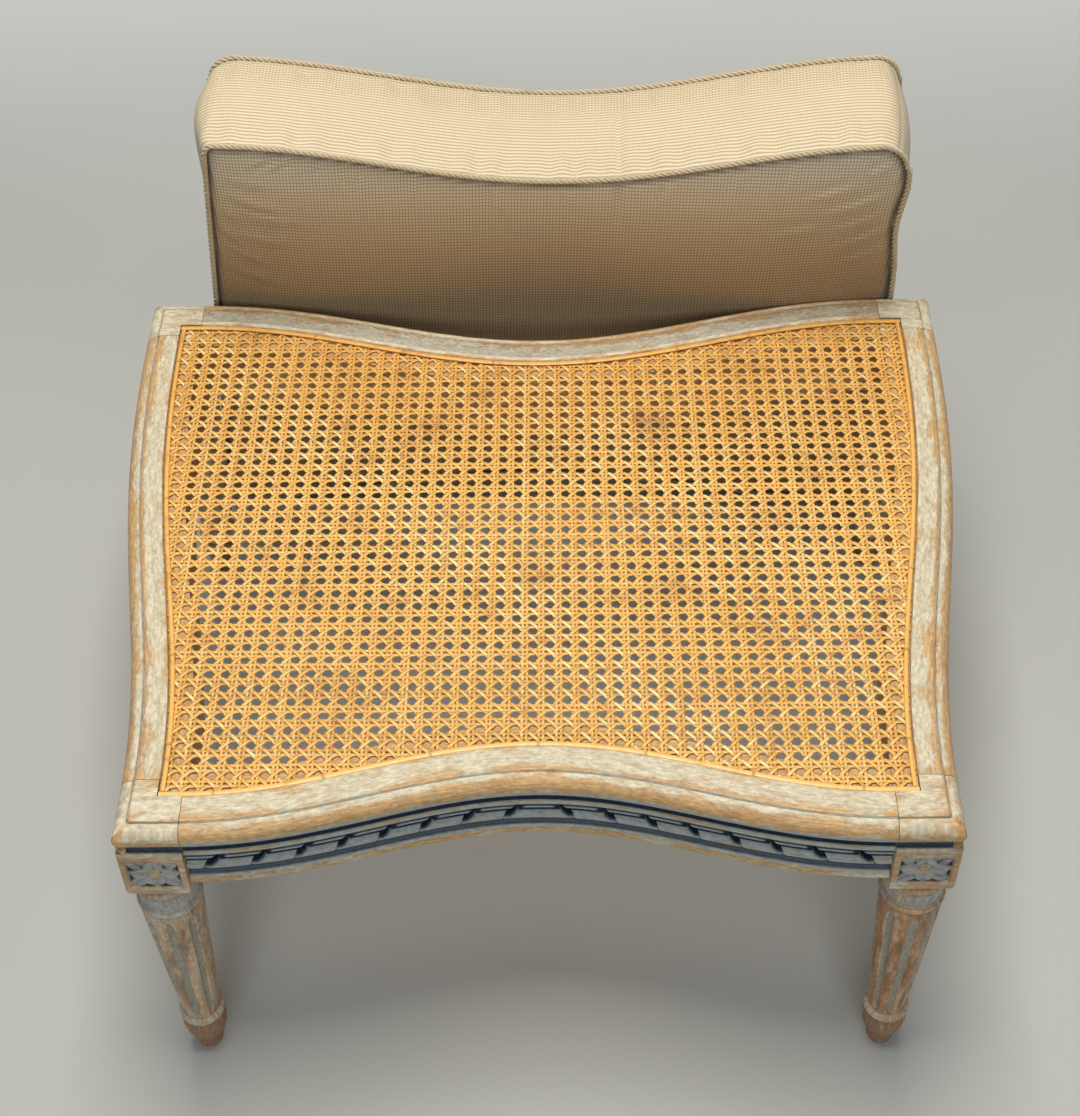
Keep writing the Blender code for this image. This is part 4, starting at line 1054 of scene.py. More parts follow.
def shaft_levels(sizes, wear_lift, seed):
    """Levels of the turned leg about its axis: points, grain and the finish's marks."""
    turn = np.radians(135) - 2 * np.pi * np.arange(ROUND_POINTS) / ROUND_POINTS
    pitch = 2 * math.pi / sizes.flutes
    beside = np.abs((turn + pitch / 2) % pitch - pitch / 2)
    levels = []
    for z, radius, flute, wear, hollow, grey, stain in turned_rows(sizes):
        half = sizes.flute_share / 2 * pitch * max(flute, 1e-4)
        bowl = np.sqrt(np.clip(1 - (beside / half) ** 2, 0.0, 1.0)) * (flute > 0)
        inside = ease(0.0, 0.5, bowl)
        edge = ease(half * 1.35, half * 1.0, beside) * (1 - inside) * (flute > 0)
        lift = wear_lift * (1 if flute > 0 or wear > 0.4 else 0.4)
        reach = radius - sizes.flute_depth * bowl * (0.35 + 0.65 * flute)
        shaft = wear == SHAFT_WEAR
        levels.append(
            (
                columns(reach * np.cos(turn), reach * np.sin(turn), z),
                columns(z, turn * 0.02, seed),
                np.clip(wear + lift + 0.12 * edge, 0, 1) * (1 - 0.85 * inside),
                hollow + 0.54 * inside,
                grey * (1 - inside),
                np.maximum(stain, (0.40 + wear_lift * 1.8) * (1 - inside) * shaft),
                (0.9 if shaft else 0.4) * (stain < 0.7) * (1 - inside),
            )
        )
    return levels


def carve_panel(plan, z, along, away, wear, hollow, grey, foot):
    """Sinks the panel into one side of a block and carves its rosette, at one level."""
    s = plan.sizes
    peg_in = (PEG_BOX[0].x + PEG_BOX[1].x + s.front_width - s.block) / 2
    peg_z = (PEG_BOX[0].z + PEG_BOX[1].z) / 2
    up = (z - plan.panel_z) / (s.panel_height / 2)
    across = along / (s.panel_width / 2)
    border = np.minimum((1 - np.abs(across)) * s.panel_width, (1 - abs(up)) * s.panel_height) / 2
    sunk = ease(0.0, 0.0008, border) * (np.abs(across) < 1)
    relief, boss = rosette(across * ROSETTE_SCALE, np.full(SIDE_POINTS, up * ROSETTE_SCALE))
    reach, full, leaf = PEG_COVER
    relief = np.maximum(relief, leaf * ease(reach, full, np.hypot(along + peg_in, z - peg_z)))
    away -= s.panel_depth * sunk * (1 - 0.92 * np.clip(relief, 0, 1.05))
    # Painted shade: the sunk parts of the carving are darkened with slate and with the foot's stain; the
    # raised rims of the petals and the boss are lighter, partly wear and partly painted highlight.
    low = ease(0.34, 0.08, relief)
    wear += 0.1 * ease(0.002, 0.0, border)
    for mark, carved in (
        (wear, 0.08 + 0.30 * ease(0.72, 0.95, relief) + 0.50 * boss),
        (hollow, np.maximum(low * 0.92, 0.40 * ease(0.62, 0.34, relief))),
        (grey, 0.95 * (1 - boss)),
        (foot, 1.2 * low),
    ):
        mark[:] = np.where(sunk > 0.3, carved, mark)


def block_levels(plan, rear, wear_lift, seed):
    """Levels of a carved block about the leg's axis: points, grain and the finish's marks."""
    s = plan.sizes
    order = np.arange(ROUND_POINTS)
    outer = order < 2 * SIDE_POINTS
    first, second = slice(0, SIDE_POINTS), slice(SIDE_POINTS, 2 * SIDE_POINTS)
    levels = []
    for sink, z, w, h, g, notched in block_rows(plan):
        x, y, near = block_loop(plan, sink, z, notched)
        wear = np.where(outer, float(w), 0.45)
        hollow = np.where(outer, float(h), 0.15)
        grey = np.full(ROUND_POINTS, float(g))
        foot = np.zeros(ROUND_POINTS)
        # The rear blocks' tops are darkened with slate like the rear band: grime, and painted shade where the
        # cushion shades them.
        if rear and z > s.height - 0.0003:
            hollow[:] = 0.36
            wear[~outer] = 0.30
        if h > 0.8 and z < plan.torus_z:
            fill = ease(0.0052, 0.0032, near)  # the groove stops short of the corner
            x = x + fill * sink * (order >= SIDE_POINTS)
            y = y + fill * sink * (order < SIDE_POINTS)
            hollow = hollow * (1 - fill)
            wear = wear + 0.25 * fill
        corner = ease(0.009, 0.001, near) * (0.45 if z < s.height - 0.0015 else 0.1)
        wear = np.where(outer, np.clip(wear + corner, 0, 1), wear)
        if abs(z - plan.panel_z) < s.panel_height / 2:
            for along, away, side in ((x, y, first), (y, x, second)):
                marks = (mark[side] for mark in (wear, hollow, grey, foot))
                carve_panel(plan, z, along[side], away[side], *marks)
        girth = np.concatenate([x[first], y[second] + 0.3, x[2 * SIDE_POINTS :] + 0.6])
        grain = (x, y) if sink >= plan.moulding else (girth, z - sink)
        levels.append(
            (
                columns(x, y, z),
                columns(*grain, seed + BLOCK_GRAIN),
                np.clip(wear + wear_lift * 0.5 * outer, 0, 1),
                hollow,
                grey,
                foot,
                np.full(ROUND_POINTS, 0.35 if z < plan.groove_z else 0.0),
            )
        )
    return levels


def make_leg(name, plan, side, end, wear_lift, seed):
    """A turned and fluted leg with its carved block, one closed skin from the floor to the seat."""
    s = plan.sizes
    levels = shaft_levels(s, wear_lift, seed) + block_levels(plan, end > 0, wear_lift, seed)
    points, grain, *marks = (np.concatenate(values) for values in zip(*levels))
    width = s.rear_width if end > 0 else s.front_width
    points[:, 0] = side * (points[:, 0] + width / 2 - s.block / 2)
    points[:, 1] = end * (points[:, 1] + s.depth / 2 - s.block / 2) + MIDDLE_Y
    attributes = {"grain": grain, **dict(zip(MARKS, marks))}
    return mesh_object(name, points, grid_faces(len(levels), ROUND_POINTS), attributes)


class STOOL_OT_legs(bpy.types.Operator):
    """Makes the four fluted legs with their carved blocks, and finishes the pegs"""

    bl_idname = "stool.legs"
    bl_label = "Legs"

    def execute(self, context):
        plan = Plan(context.scene.stool_sizes)
        paint = finish_material("worn_paint", worn_paint)
        for i, (node, (side, end)) in enumerate(LEGS.items()):
            leg = make_leg("carved_" + node, plan, side, end, WEAR_LIFTS[node], GRAIN_SEED + GRAIN_STEP * i)
            leg.data.materials.append(paint)
            finish_piece(leg, "stool", "worn_paint", node)
        beech = finish_material("beech_peg", peg_wood)
        for node in PEGS:
            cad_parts[node].material_slots[0].material = beech
        return {"FINISHED"}


# Cane

SHIFT_X, SHIFT_Y = -0.0042, 0.0046  # one hole's middle, from the stool's middle
DARK_LINES = {True: 0.1725, False: -0.160}  # where an upright and a level run of strands is darker
PALE_LINES = (-0.095, 0.172)  # where groups of newer slanting strands cross the stool's middle
CANE_SEED = 20
EDGE_HALVINGS = 18
STRAIGHT_RISE = 0.00022  # how far a straight strand goes over or under
STRAIGHT_REACH, SLANT_REACH = 30, 66  # strands on each side of the stool's middle
CANE_MARGIN = 0.0012  # how far inside the opening the strands end
SIDE_BINDER_SHARE = 0.76  # width of the side strips by that of the long ones
BINDER_TONES = (0.62, 0.52, 0.44, 0.44)
TIE_ANGLES = np.radians(np.linspace(-12, 192, 9))
TIE_LIFT = 0.0003  # how far a tie stands off its strip
TIE_TONE = 0.12
STRAND_SIDES, STRIP_SIDES = 6, 12  # corners of a strand's and a strip's section


def clipped(plan, points, margin):
    """The stretches of a polyline that lie inside the seat, with their ends on its edge."""

    def edge_point(within, beyond):
        for _ in range(EDGE_HALVINGS):
            middle = (within + beyond) / 2
            if plan.inside(middle[0], middle[1], margin):
                within = middle
            else:
                beyond = middle
        return within

    keep = plan.inside(points[:, 0], points[:, 1], margin)
    changes = np.flatnonzero(keep[1:] != keep[:-1]) + 1
    pieces = []
    for start, stop in zip(changes[::2], changes[1::2]):
        first = edge_point(points[start], points[start - 1])
        last = edge_point(points[stop - 1], points[stop])
        pieces.append(np.vstack([first, points[start:stop], last]))
    return pieces


def straight_strands(seat, upright, rng):
    """Paired strands across or along the seat. Of a pair, each goes over what the other goes under."""
    step, other = (seat.pitch_across, seat.pitch_along) if upright else (seat.pitch_along, seat.pitch_across)
    start, cross = (SHIFT_X, SHIFT_Y) if upright else (SHIFT_Y, SHIFT_X)
    pair, passed = (seat.upright_pair, seat.level_pair) if upright else (seat.level_pair, seat.upright_pair)
    steps = np.arange(-STRAIGHT_REACH, STRAIGHT_REACH)
    middles = cross + (steps + 0.5) * other
    along = columns(middles - passed / 2, middles + passed / 2, cross + (steps + 1) * other).ravel()
    bob = STRAIGHT_RISE if upright else -STRAIGHT_RISE
    height = np.tile((bob, -bob, 0.0), len(steps))
    strands = []
    for k in steps:
        for half in (-1, 1):
            fixed = start + (k + 0.5) * step + half * pair / 2 + rng.normal(0.0, 0.00012)
            wander = 0.00035 * np.sin(along * 11 + k * 1.9) + 0.0002 * np.sin(along * 31 + k * 0.7)
            plan = (fixed + wander, along) if upright else (along, fixed + wander)
            tone = 0.42 + rng.normal(0.0, 0.15) + (0.08 if upright else -0.06)
            tone -= 0.30 * math.exp(-(((fixed - DARK_LINES[upright]) / 0.013) ** 2))
            strands.append((columns(*plan, half * height), tone))
    return strands


def slant_strands(seat, rising, rng):
    """Single diagonal strands, which pass midway between neighbouring holes."""
    crossings = np.repeat(np.arange(-2 * SLANT_REACH, 2 * SLANT_REACH), 3)
    shares = np.tile((-0.22, 0.0, 0.22), 4 * SLANT_REACH)
    across = 0.5 * (crossings + shares * 2)
    over = np.where(crossings % 2 == (1 if rising else 0), 1, -1)
    height = over * np.where(shares == 0, seat.rise, seat.rise * 0.86)
    x = SHIFT_X + across * seat.pitch_across
    strands = []
    for k in range(-SLANT_REACH, SLANT_REACH):
        rows = across - k - 0.5 if rising else k + 0.5 - across
        y = SHIFT_Y + rows * seat.pitch_along
        offset = rng.normal(0.0, 0.00018)
        wander = 0.0003 * np.sin(x * 17 + k * 2.3)
        start = SHIFT_X + (k + 0.5) * seat.pitch_across
        tone = 0.50 + rng.normal(0.0, 0.12)
        if not rising:
            tone += 0.12
            for middle in PALE_LINES:
                tone += 0.45 * math.exp(-(((start - middle) / 0.030) ** 2))
        strands.append((columns(x + offset + wander, y, height), tone))
    return strands


def cane_object(name, plan, seat, strands, width, tree, material, lift):
    lines, tones, runs = [], [], []
    for i, (points, tone) in enumerate(strands):
        for piece in clipped(plan, points, CANE_MARGIN):
            lines.append(piece + (0.0, MIDDLE_Y, lift))
            tones.append(np.full(len(piece), min(max(tone, 0.0), 1.0)))
            run = run_along(piece[:, :2]) + i * 1.7
            runs.append(columns(run, 0.0, i * 0.31))
    obj = line_object(name, lines, {"tone": tones, "strand": runs})
    values = {"Width": width, "Thickness": seat.strand_thickness, "Sides": STRAND_SIDES, "Material": material}
    grow(obj, tree, values)
    return obj


class STOOL_OT_cane(bpy.types.Operator):
    """Weaves the six-way cane seat"""

    bl_idname = "stool.cane"
    bl_label = "Cane"

    def execute(self, context):
        plan = Plan(context.scene.stool_sizes)
        seat = context.scene.seat_sizes
        tree = strand_tree()
        material = finish_material("honey_cane", lambda: cane_skin("honey_cane", 0.42))
        middle = (CANE_LOW.z + CANE_HIGH.z) / 2
        rng = np.random.default_rng(CANE_SEED)
        groups = (
            ("cane_uprights", straight_strands(seat, True, rng), seat.upright_width),
            ("cane_levels", straight_strands(seat, False, rng), seat.level_width),
            ("cane_rising_slants", slant_strands(seat, True, rng), seat.slant_width),
            ("cane_falling_slants", slant_strands(seat, False, rng), seat.slant_width),
        )
        for i, (name, strands, width) in enumerate(groups):
            obj = cane_object(name, plan, seat, strands, width, tree, material, middle)
            finish_piece(obj, "stool", "honey_cane", *(("cane_panel",) if i == 0 else ()))
        return {"FINISHED"}


def binder_paths(plan, seat):
    """Middle line of each binding strip, as x and y, with its width."""
    wide, narrow = seat.binder_width, seat.binder_width * SIDE_BINDER_SHARE
    stop = plan.open_y - wide - 0.0006
    paths = {}
    for node, rear in (("front_binder", False), ("rear_binder", True)):
        half = (plan.open_rear_x if rear else plan.open_front_x) - 0.0006
        paths[node] = (plan.long_points(rear, np.linspace(-half, half, 120), -wide / 2 - 0.0004), wide)
    for node, side in (("left_binder", -1), ("right_binder", 1)):
        paths[node] = (plan.side_points(side, np.linspace(-stop, stop, 110), -narrow / 2 - 0.0014), narrow)
    return paths


def tie_arches(line, travel, width, thickness, pitch):
    """Small arches over a strip at even distances, each with how far along it stands."""
    count = int(travel[-1] / pitch)
    for at in (np.arange(count) + 0.5) * travel[-1] / count:
        spot, ahead = (np.array([np.interp(to, travel, part) for part in line.T]) for to in (at, at + 0.002))
        forward = (ahead - spot) / np.linalg.norm(ahead - spot)
        square = np.array([-forward[1], forward[0], 0.0]) * (width / 2 + TIE_LIFT)
        upright = np.array([0.0, 0.0, thickness / 2 + TIE_LIFT])
        yield spot + np.outer(np.cos(TIE_ANGLES), square) + np.outer(np.sin(TIE_ANGLES), upright), at


class STOOL_OT_binders(bpy.types.Operator):
    """Lays the binding strips round the seat and ties them down"""

    bl_idname = "stool.binders"
    bl_label = "Binding strips"

    def execute(self, context):
        seat = context.scene.seat_sizes
        tree = strand_tree()
        material = finish_material("cane_binder", lambda: cane_skin("cane_binder", 0.36))
        thickness = BINDER_HIGH.z - BINDER_LOW.z
        level = BINDER_LOW.z + 0.0001 + thickness / 2
        ties, tones, runs = [], [], []
        paths = binder_paths(Plan(context.scene.stool_sizes), seat)
        for i, (node, ((x, y), width)) in enumerate(paths.items()):
            line = columns(x, y + MIDDLE_Y, level)
            travel = run_along(line)
            marks = {"tone": [np.full(len(x), BINDER_TONES[i])], "strand": [columns(travel, 0.0, 3.1 * i)]}
            strip = line_object("strip_" + node, [line], marks)
            values = {"Width": width, "Thickness": thickness, "Sides": STRIP_SIDES, "Material": material}
            grow(strip, tree, values)
            finish_piece(strip, "stool", "cane_binder", node)
            for arch, at in tie_arches(line, travel, width, thickness, seat.tie_pitch):
                ties.append(arch)
                tones.append(np.full(len(arch), TIE_TONE))
                runs.append(columns(TIE_ANGLES * 0.002, 0.0, at))
        loops = line_object("binder_ties", ties, {"tone": tones, "strand": runs})
        values = {"Width": 0.0019, "Thickness": 0.0006, "Sides": STRAND_SIDES, "Material": material}
        grow(loops, tree, values)
        finish_piece(loops, "stool", "cane_binder")
        return {"FINISHED"}


# Cushion

CAD_CORNERS = (0.016,) * 4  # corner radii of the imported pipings, from the foot's left round
FRONT_CORNERS = (0.016, 0.016, 0.026, 0.008)
BACK_CORNERS = (0.016, 0.016, 0.022, 0.026)
BACK_PULL = 0.009  # how far the back seam's upper left corner stands out
CORNER_STEPS, EDGE_STEPS, FLANK_STEPS = 6, 30, 22
DOME_SCALES = (0.985, 0.94, 0.85, 0.7, 0.5, 0.25, 0.06)  # rings of a panel, by its outline
DOME_RISE = 0.007
BOXING_RINGS = 13
PIN_WEIGHTS = (0.35, 0.7, 1.0)
PIN_STEP = 0.175  # half the way between two weights
SIM_FRAMES = 20
CLOTH_SETTINGS = {
    "quality": 5,
    "mass": 0.3,
    "tension_stiffness": 5.0,
    "compression_stiffness": 5.0,
    "shear_stiffness": 2.0,
    "bending_stiffness": 0.2,
    "use_pressure": True,
}
PLEAT_X = 0.054  # where a short pleat runs down from the upper edge
JOIN_BACK = 0.0015  # the boxing's join, this far round from the right corner
FLOOR_CLEAR = 0.0008  # how far the cover stays above the floor
PANEL_FOLD, BOXING_FOLD = 0.0028, 0.0008  # how deep the cloth sinks at a seam
STITCH_DEPTH, STITCH_WIDTH = 0.0006, 0.0022  # the boxing's join
SEAM_PULL, SEAM_GAP = 0.0042, 0.0012  # how far an edge is drawn in, and how close to the seam
CORD_OUT = 0.0006  # the cord's middle, outside the seam
TINY = 1e-9
CORD_POINTS = 14  # points in each turn of a cord
# Pulls in the front panel: start and end as distance in from an edge and down from the top, width, height
LEFT_PULLS = (
    (0.004, 0.052, 0.075, 0.074, 0.0036, 0.0017),
    (0.010, 0.074, 0.090, 0.086, 0.0042, 0.0020),
    (0.008, 0.099, 0.085, 0.112, 0.0042, 0.0018),
    (0.003, 0.064, 0.040, 0.098, 0.0032, 0.0014),
    (0.003, 0.088, 0.038, 0.124, 0.0032, 0.0014),
    (0.003, 0.114, 0.060, 0.142, 0.0036, 0.0015),
    (0.030, 0.026, 0.066, 0.002, 0.0032, 0.0015),
    (0.046, 0.030, 0.084, 0.004, 0.0032, 0.0014),
    (0.080, 0.030, 0.112, 0.008, 0.0032, 0.0011),
    (0.010, 0.034, 0.060, 0.046, 0.0040, 0.0011),
    (0.003, 0.140, 0.070, 0.166, 0.0040, 0.0013),
)
RIGHT_PULLS = (
    (0.078, 0.078, 0.003, 0.048, 0.0036, 0.0017),
    (0.072, 0.098, 0.003, 0.070, 0.0036, 0.0019),
    (0.066, 0.118, 0.003, 0.093, 0.0036, 0.0017),
    (0.058, 0.138, 0.003, 0.116, 0.0036, 0.0014),
    (0.096, 0.062, 0.030, 0.038, 0.0042, 0.0012),
    (0.040, 0.034, 0.004, 0.014, 0.0032, 0.0013),
    (0.120, 0.100, 0.060, 0.086, 0.0045, 0.0010),
)
TOP_PULLS = (
    (-0.170, 0.002, -0.164, 0.046, 0.0034, 0.0012),
    (-0.118, 0.002, -0.124, 0.038, 0.0034, 0.0011),
    (-0.052, 0.002, -0.050, 0.042, 0.0034, 0.0012),
    (0.012, 0.002, 0.016, 0.034, 0.0032, 0.0009),
    (0.100, 0.002, 0.092, 0.044, 0.0034, 0.0012),
    (0.152, 0.002, 0.158, 0.036, 0.0034, 0.0010),
    (0.205, 0.002, 0.198, 0.040, 0.0034, 0.0011),
)


def cushion_outline(sizes, radii, steps=1):
    """Seam line as (across, up from the wide edge), from the foot's left. radii go round the same way."""
    points = []

    def corner(x, y, radius, first):
        for i in range(1, CORNER_STEPS * steps):
            angle = first + math.pi / 2 * i / (CORNER_STEPS * steps)
            points.append((x + radius * math.cos(angle), y + radius * math.sin(angle)))

    def edge(half, low, high, base, dip):
        for share in np.linspace(0.0, 1.0, EDGE_STEPS * steps + 1):
            x = low + (high - low) * share
            points.append((x, base + dip * float(swell((x + half) / (2 * half)))))

    def flank(side, shares, low, high):
        for share in shares:
            up = low + (sizes.height - high - low) * share
            whole = up / sizes.height
            half = sizes.wide + (sizes.narrow - sizes.wide) * whole
            draw = sizes.side_draw * float(swell(whole))
            if side > 0:
                draw += 0.0042 * math.exp(-(((up - sizes.height + 0.100) / 0.034) ** 2))
                draw -= 0.0016 * math.exp(-(((up - sizes.height + 0.045) / 0.020) ** 2))
            points.append((side * (half / 2 - draw), up))

    wide, narrow = sizes.wide / 2, sizes.narrow / 2
    foot_left, foot_right, top_right, top_left = radii
    shares = np.linspace(0.0, 1.0, FLANK_STEPS * steps + 1)
    edge(wide, foot_left - wide, wide - foot_right, 0.0, sizes.wide_dip)
    corner(wide - foot_right, foot_right, foot_right, -math.pi / 2)
    flank(1, shares, foot_right, top_right)
    corner(narrow - top_right, sizes.height - top_right, top_right, 0.0)
    edge(narrow, narrow - top_right, top_left - narrow, sizes.height, -sizes.narrow_dip)
    corner(top_left - narrow, sizes.height - top_left, top_left, math.pi / 2)
    flank(-1, shares[::-1], foot_left, top_left)
    corner(foot_left - wide, foot_left, foot_left, math.pi)
    return np.array(points)


def outward(outline):
    along = np.roll(outline, -1, 0) - np.roll(outline, 1, 0)
    normal = np.stack([along[:, 1], -along[:, 0]], 1)
    return normal / np.linalg.norm(normal, axis=1)[:, None]


def at_depth(line, depth):
    return columns(*line.T, depth)


def stand(sizes, flat):
    """Puts points of the flat cushion (across, up, depth) where it stands and leans on the stool."""
    across, up, depth = flat.T
    tilt = sizes.lean * sweep_over(up / (sizes.height / 2))
    y = -up * math.sin(sizes.lean) - depth * np.cos(tilt)
    z = up * math.cos(sizes.lean) - depth * np.sin(tilt) + sizes.piping
    x = across + sizes.skew * (up - sizes.height / 2)
    cosine, sine = math.cos(sizes.turn), math.sin(sizes.turn)
    return columns(x * cosine - y * sine, x * sine + y * cosine, z)


def cushion_place(sizes):
    """Where the cushion stands in the frame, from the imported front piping."""
    outline = cushion_outline(sizes, CAD_CORNERS)
    seam = seam_depth(sizes, True)
    rings = (
        at_depth(outline + outward(outline) * sizes.piping, seam),
        at_depth(outline, seam + sizes.piping),
        at_depth(outline, seam - sizes.piping),
    )
    points = stand(sizes, np.concatenate(rings))
    low, high = PIPING_BOX
    middle = (points.min(0) + points.max(0)) / 2
    return np.array([(low.x + high.x) / 2 - middle[0], (low.y + high.y) / 2 - middle[1], 0.0])


def seam_depth(sizes, front):
    return sizes.thickness / 2 * (1 if front else -1)


def seam_line(sizes, front, steps=1):
    line = cushion_outline(sizes, FRONT_CORNERS if front else BACK_CORNERS, steps)
    if not front:
        left = ease(0.0, -sizes.narrow / 2, line[:, 0])
        high = ease(sizes.height / 2, sizes.height, line[:, 1])
        line[:, 0] -= BACK_PULL * left * high
    return line


def flat_cushion(sizes):
    """Closed start shape of the cover in flat coordinates, a little smaller than the filled cushion."""
    front, back = seam_line(sizes, True), seam_line(sizes, False)
    seam = seam_depth(sizes, True)

    def ring(depth):
        share = (depth + seam) / (2 * seam)
        line = front * share + back * (1 - share)
        away = outward(line)
        aside = away[:, :1] ** 2
        high = ease(sizes.height * 0.74, sizes.height * 0.97, line[:, 1:])
        full = np.where(away[:, :1] < 0, 0.0128, 0.0062)
        bulge = 0.0066 * (1 - aside) + aside * (0.0026 + (full - 0.0026) * high)
        bulge = bulge * math.sin(math.pi * share) ** 0.7 - 0.001
        return at_depth(line + away * bulge, depth)

    def dome(line, way):
        middle = line.mean(0)
        stack = []
        for scale in DOME_SCALES:
            depth = way * (seam + DOME_RISE * (1 - scale**7) - 0.0005)
            stack.append(at_depth(middle + (line - middle) * scale, depth))
        return stack

    boxing = [ring(depth) for depth in np.linspace(-seam, seam, BOXING_RINGS)]
    rings = dome(back, -1)[::-1] + boxing + dome(front, 1)
    return np.concatenate(rings), grid_faces(len(rings), len(front))


def nearest_on(line, points):
    """Distance to a closed line and the length along it, for plan points."""
    ahead = np.roll(line, -1, 0) - line
    spans = np.linalg.norm(ahead, axis=1)
    best = np.full(len(points), np.inf)
    along = np.zeros(len(points))
    for corner, way, span, start in zip(line, ahead, spans, run_along(line)):
        rel = points - corner
        share = np.clip((rel @ way) / span**2, 0.0, 1.0)
        gap = np.linalg.norm(rel - share[:, None] * way, axis=1)
        better = gap < best
        best = np.where(better, gap, best)
        along = np.where(better, start + share * span, along)
    return best, along


def near_seams(sizes, lines, flat):
    """Distance to the closer seam and the length along the front one, for flat points."""
    gaps = {}
    for front, line in lines.items():
        gap, along = nearest_on(line, flat[:, :2])
        gaps[front] = np.hypot(gap, flat[:, 2] - seam_depth(sizes, front)), along
    return np.minimum(gaps[True][0], gaps[False][0]), gaps[True][1]


def simulate_filling(obj, sizes, pinned):
    """Swells the cover with the Cloth simulation. The seams hold their place."""
    group = obj.vertex_groups.new(name="seams")
    for weight in PIN_WEIGHTS:
        chosen = np.nonzero((pinned >= weight - PIN_STEP) & (pinned < weight + PIN_STEP))[0]
        if len(chosen):
            group.add(chosen.tolist(), weight, "REPLACE")
    modifier = obj.modifiers.new("Filling", "CLOTH")
    settings = modifier.settings
    for key, value in CLOTH_SETTINGS.items():
        setattr(settings, key, value)
    settings.uniform_pressure_force = sizes.pressure
    settings.vertex_group_mass = group.name
    settings.effector_weights.gravity = 0.0
    modifier.collision_settings.use_collision = False
    modifier.point_cache.frame_start = 1
    modifier.point_cache.frame_end = SIM_FRAMES
    scene = bpy.context.scene
    for moment in range(1, SIM_FRAMES + 1):
        scene.frame_set(moment)
    swollen = obj.evaluated_get(bpy.context.evaluated_depsgraph_get())
    points = read_values(swollen.to_mesh().vertices, "co", 3)
    swollen.to_mesh_clear()
    obj.modifiers.remove(modifier)
    scene.frame_set(1)
    return points


def write_points(mesh, points):
    mesh.vertices.foreach_set("co", np.asarray(points, float).ravel())
    mesh.update()


def remeshed(obj, voxel):
    """Replaces the object's mesh with an even one."""
    modifier = obj.modifiers.new("Even mesh", "REMESH")
    modifier.mode = "VOXEL"
    modifier.voxel_size = voxel
    modifier.use_smooth_shade = True
    return keep_result(obj)


def wrinkles(sizes, flat):
    """How far the cover stands out or in where it is pulled, for points in flat coordinates."""
    across, up, depth = flat.T
    seam = sizes.thickness / 2
    front = ease(seam - 0.012, seam + 0.002, depth)
    boxing = 1 - ease(seam - 0.010, seam - 0.002, np.abs(depth))
    half = (sizes.wide + (sizes.narrow - sizes.wide) * up / sizes.height) / 2
    below = sizes.height - up
    hollow = sizes.narrow_dip * swell((across + sizes.narrow / 2) / sizes.narrow)
    lift = np.zeros(len(flat))
    edges = (
        (across + half, below, LEFT_PULLS),
        (half - across, below, RIGHT_PULLS),
        (across, below - hollow, TOP_PULLS),
    )
    for run, drop, pulls in edges:
        for x0, y0, x1, y1, width, height in pulls:
            ahead = np.array((x1 - x0, y1 - y0))
            span = np.hypot(*ahead)
            share = ((run - x0) * ahead[0] + (drop - y0) * ahead[1]) / span**2
            beside = ((drop - y0) * ahead[0] - (run - x0) * ahead[1]) / span / width
            ridge = np.exp(-(beside**2)) - 0.7 * np.exp(-((beside - 1.5) ** 2))
            lift += front * height * swell(share) * ridge
    shelf = boxing * ease(sizes.height * 0.8, sizes.height * 0.9, up)
    pucker = np.sin(across * 2 * np.pi / 0.027 + 2.2 * np.sin(across * 19)) * np.sin(across * 41 + 1)
    lift += shelf * 0.0017 * pucker * ease(0.012, seam - 0.010, np.abs(depth))
    slow = np.sin(across * 13.0 + 0.7) * np.sin(up * 17.0 + across * 5.0)
    lift += 0.0012 * slow * ease(0.0, 0.05, half - np.abs(across))
    pleat = np.exp(-(((across - PLEAT_X) / 0.0030) ** 2))
    return lift - 0.0024 * pleat * (front * ease(0.075, 0.015, below - hollow) + shelf)


def drawn_to_seams(sizes, lines, flat):
    """Pulls the cover's edges in under the cords."""
    for front, line in lines.items():
        _, along = nearest_on(line, flat[:, :2])
        closed = np.vstack([line, line[:1]])
        travel = run_along(closed)
        spot = [np.interp(along, travel, part) for part in closed.T]
        pull = columns(*spot, seam_depth(sizes, front)) - flat
        away = np.linalg.norm(pull, axis=1)
        reach = np.minimum(SEAM_PULL, np.maximum(away - SEAM_GAP, 0.0)) * ease(0.0105, 0.0045, away)
        flat = flat + pull * (reach / np.maximum(away, TINY))[:, None]
    return flat


def join_place(sizes, line):
    """Length along the seam to the boxing's join near the upper right corner."""
    corner = np.argmin(np.hypot(line[:, 0] - sizes.narrow / 2, line[:, 1] - sizes.height))
    return run_along(line)[corner] + JOIN_BACK


def mark_cloth(mesh, flat, along, total):
    """Cloth coordinates on each face corner: the panels lie flat, the boxing runs round the seam."""
    corners = read_values(mesh.loops, "vertex_index", kind=np.int32)
    starts = read_values(mesh.polygons, "loop_start", kind=np.int32)
    face = np.repeat(np.arange(len(starts)), read_values(mesh.polygons, "loop_total", kind=np.int32))
    facing = read_values(mesh.polygons, "normal", 3)[face, 2]
    panel = np.abs(facing) > 0.7
    run = along[corners]
    run = run - total * np.round((run - along[corners[starts]][face]) / total)
    across, up, depth = flat[corners].T
    kind = np.where(panel, np.sign(facing) * 0.5, 2.0)
    values = columns(np.where(panel, across, run), np.where(panel, up, depth), kind)
    add_attribute(mesh, "cloth", values, "CORNER")


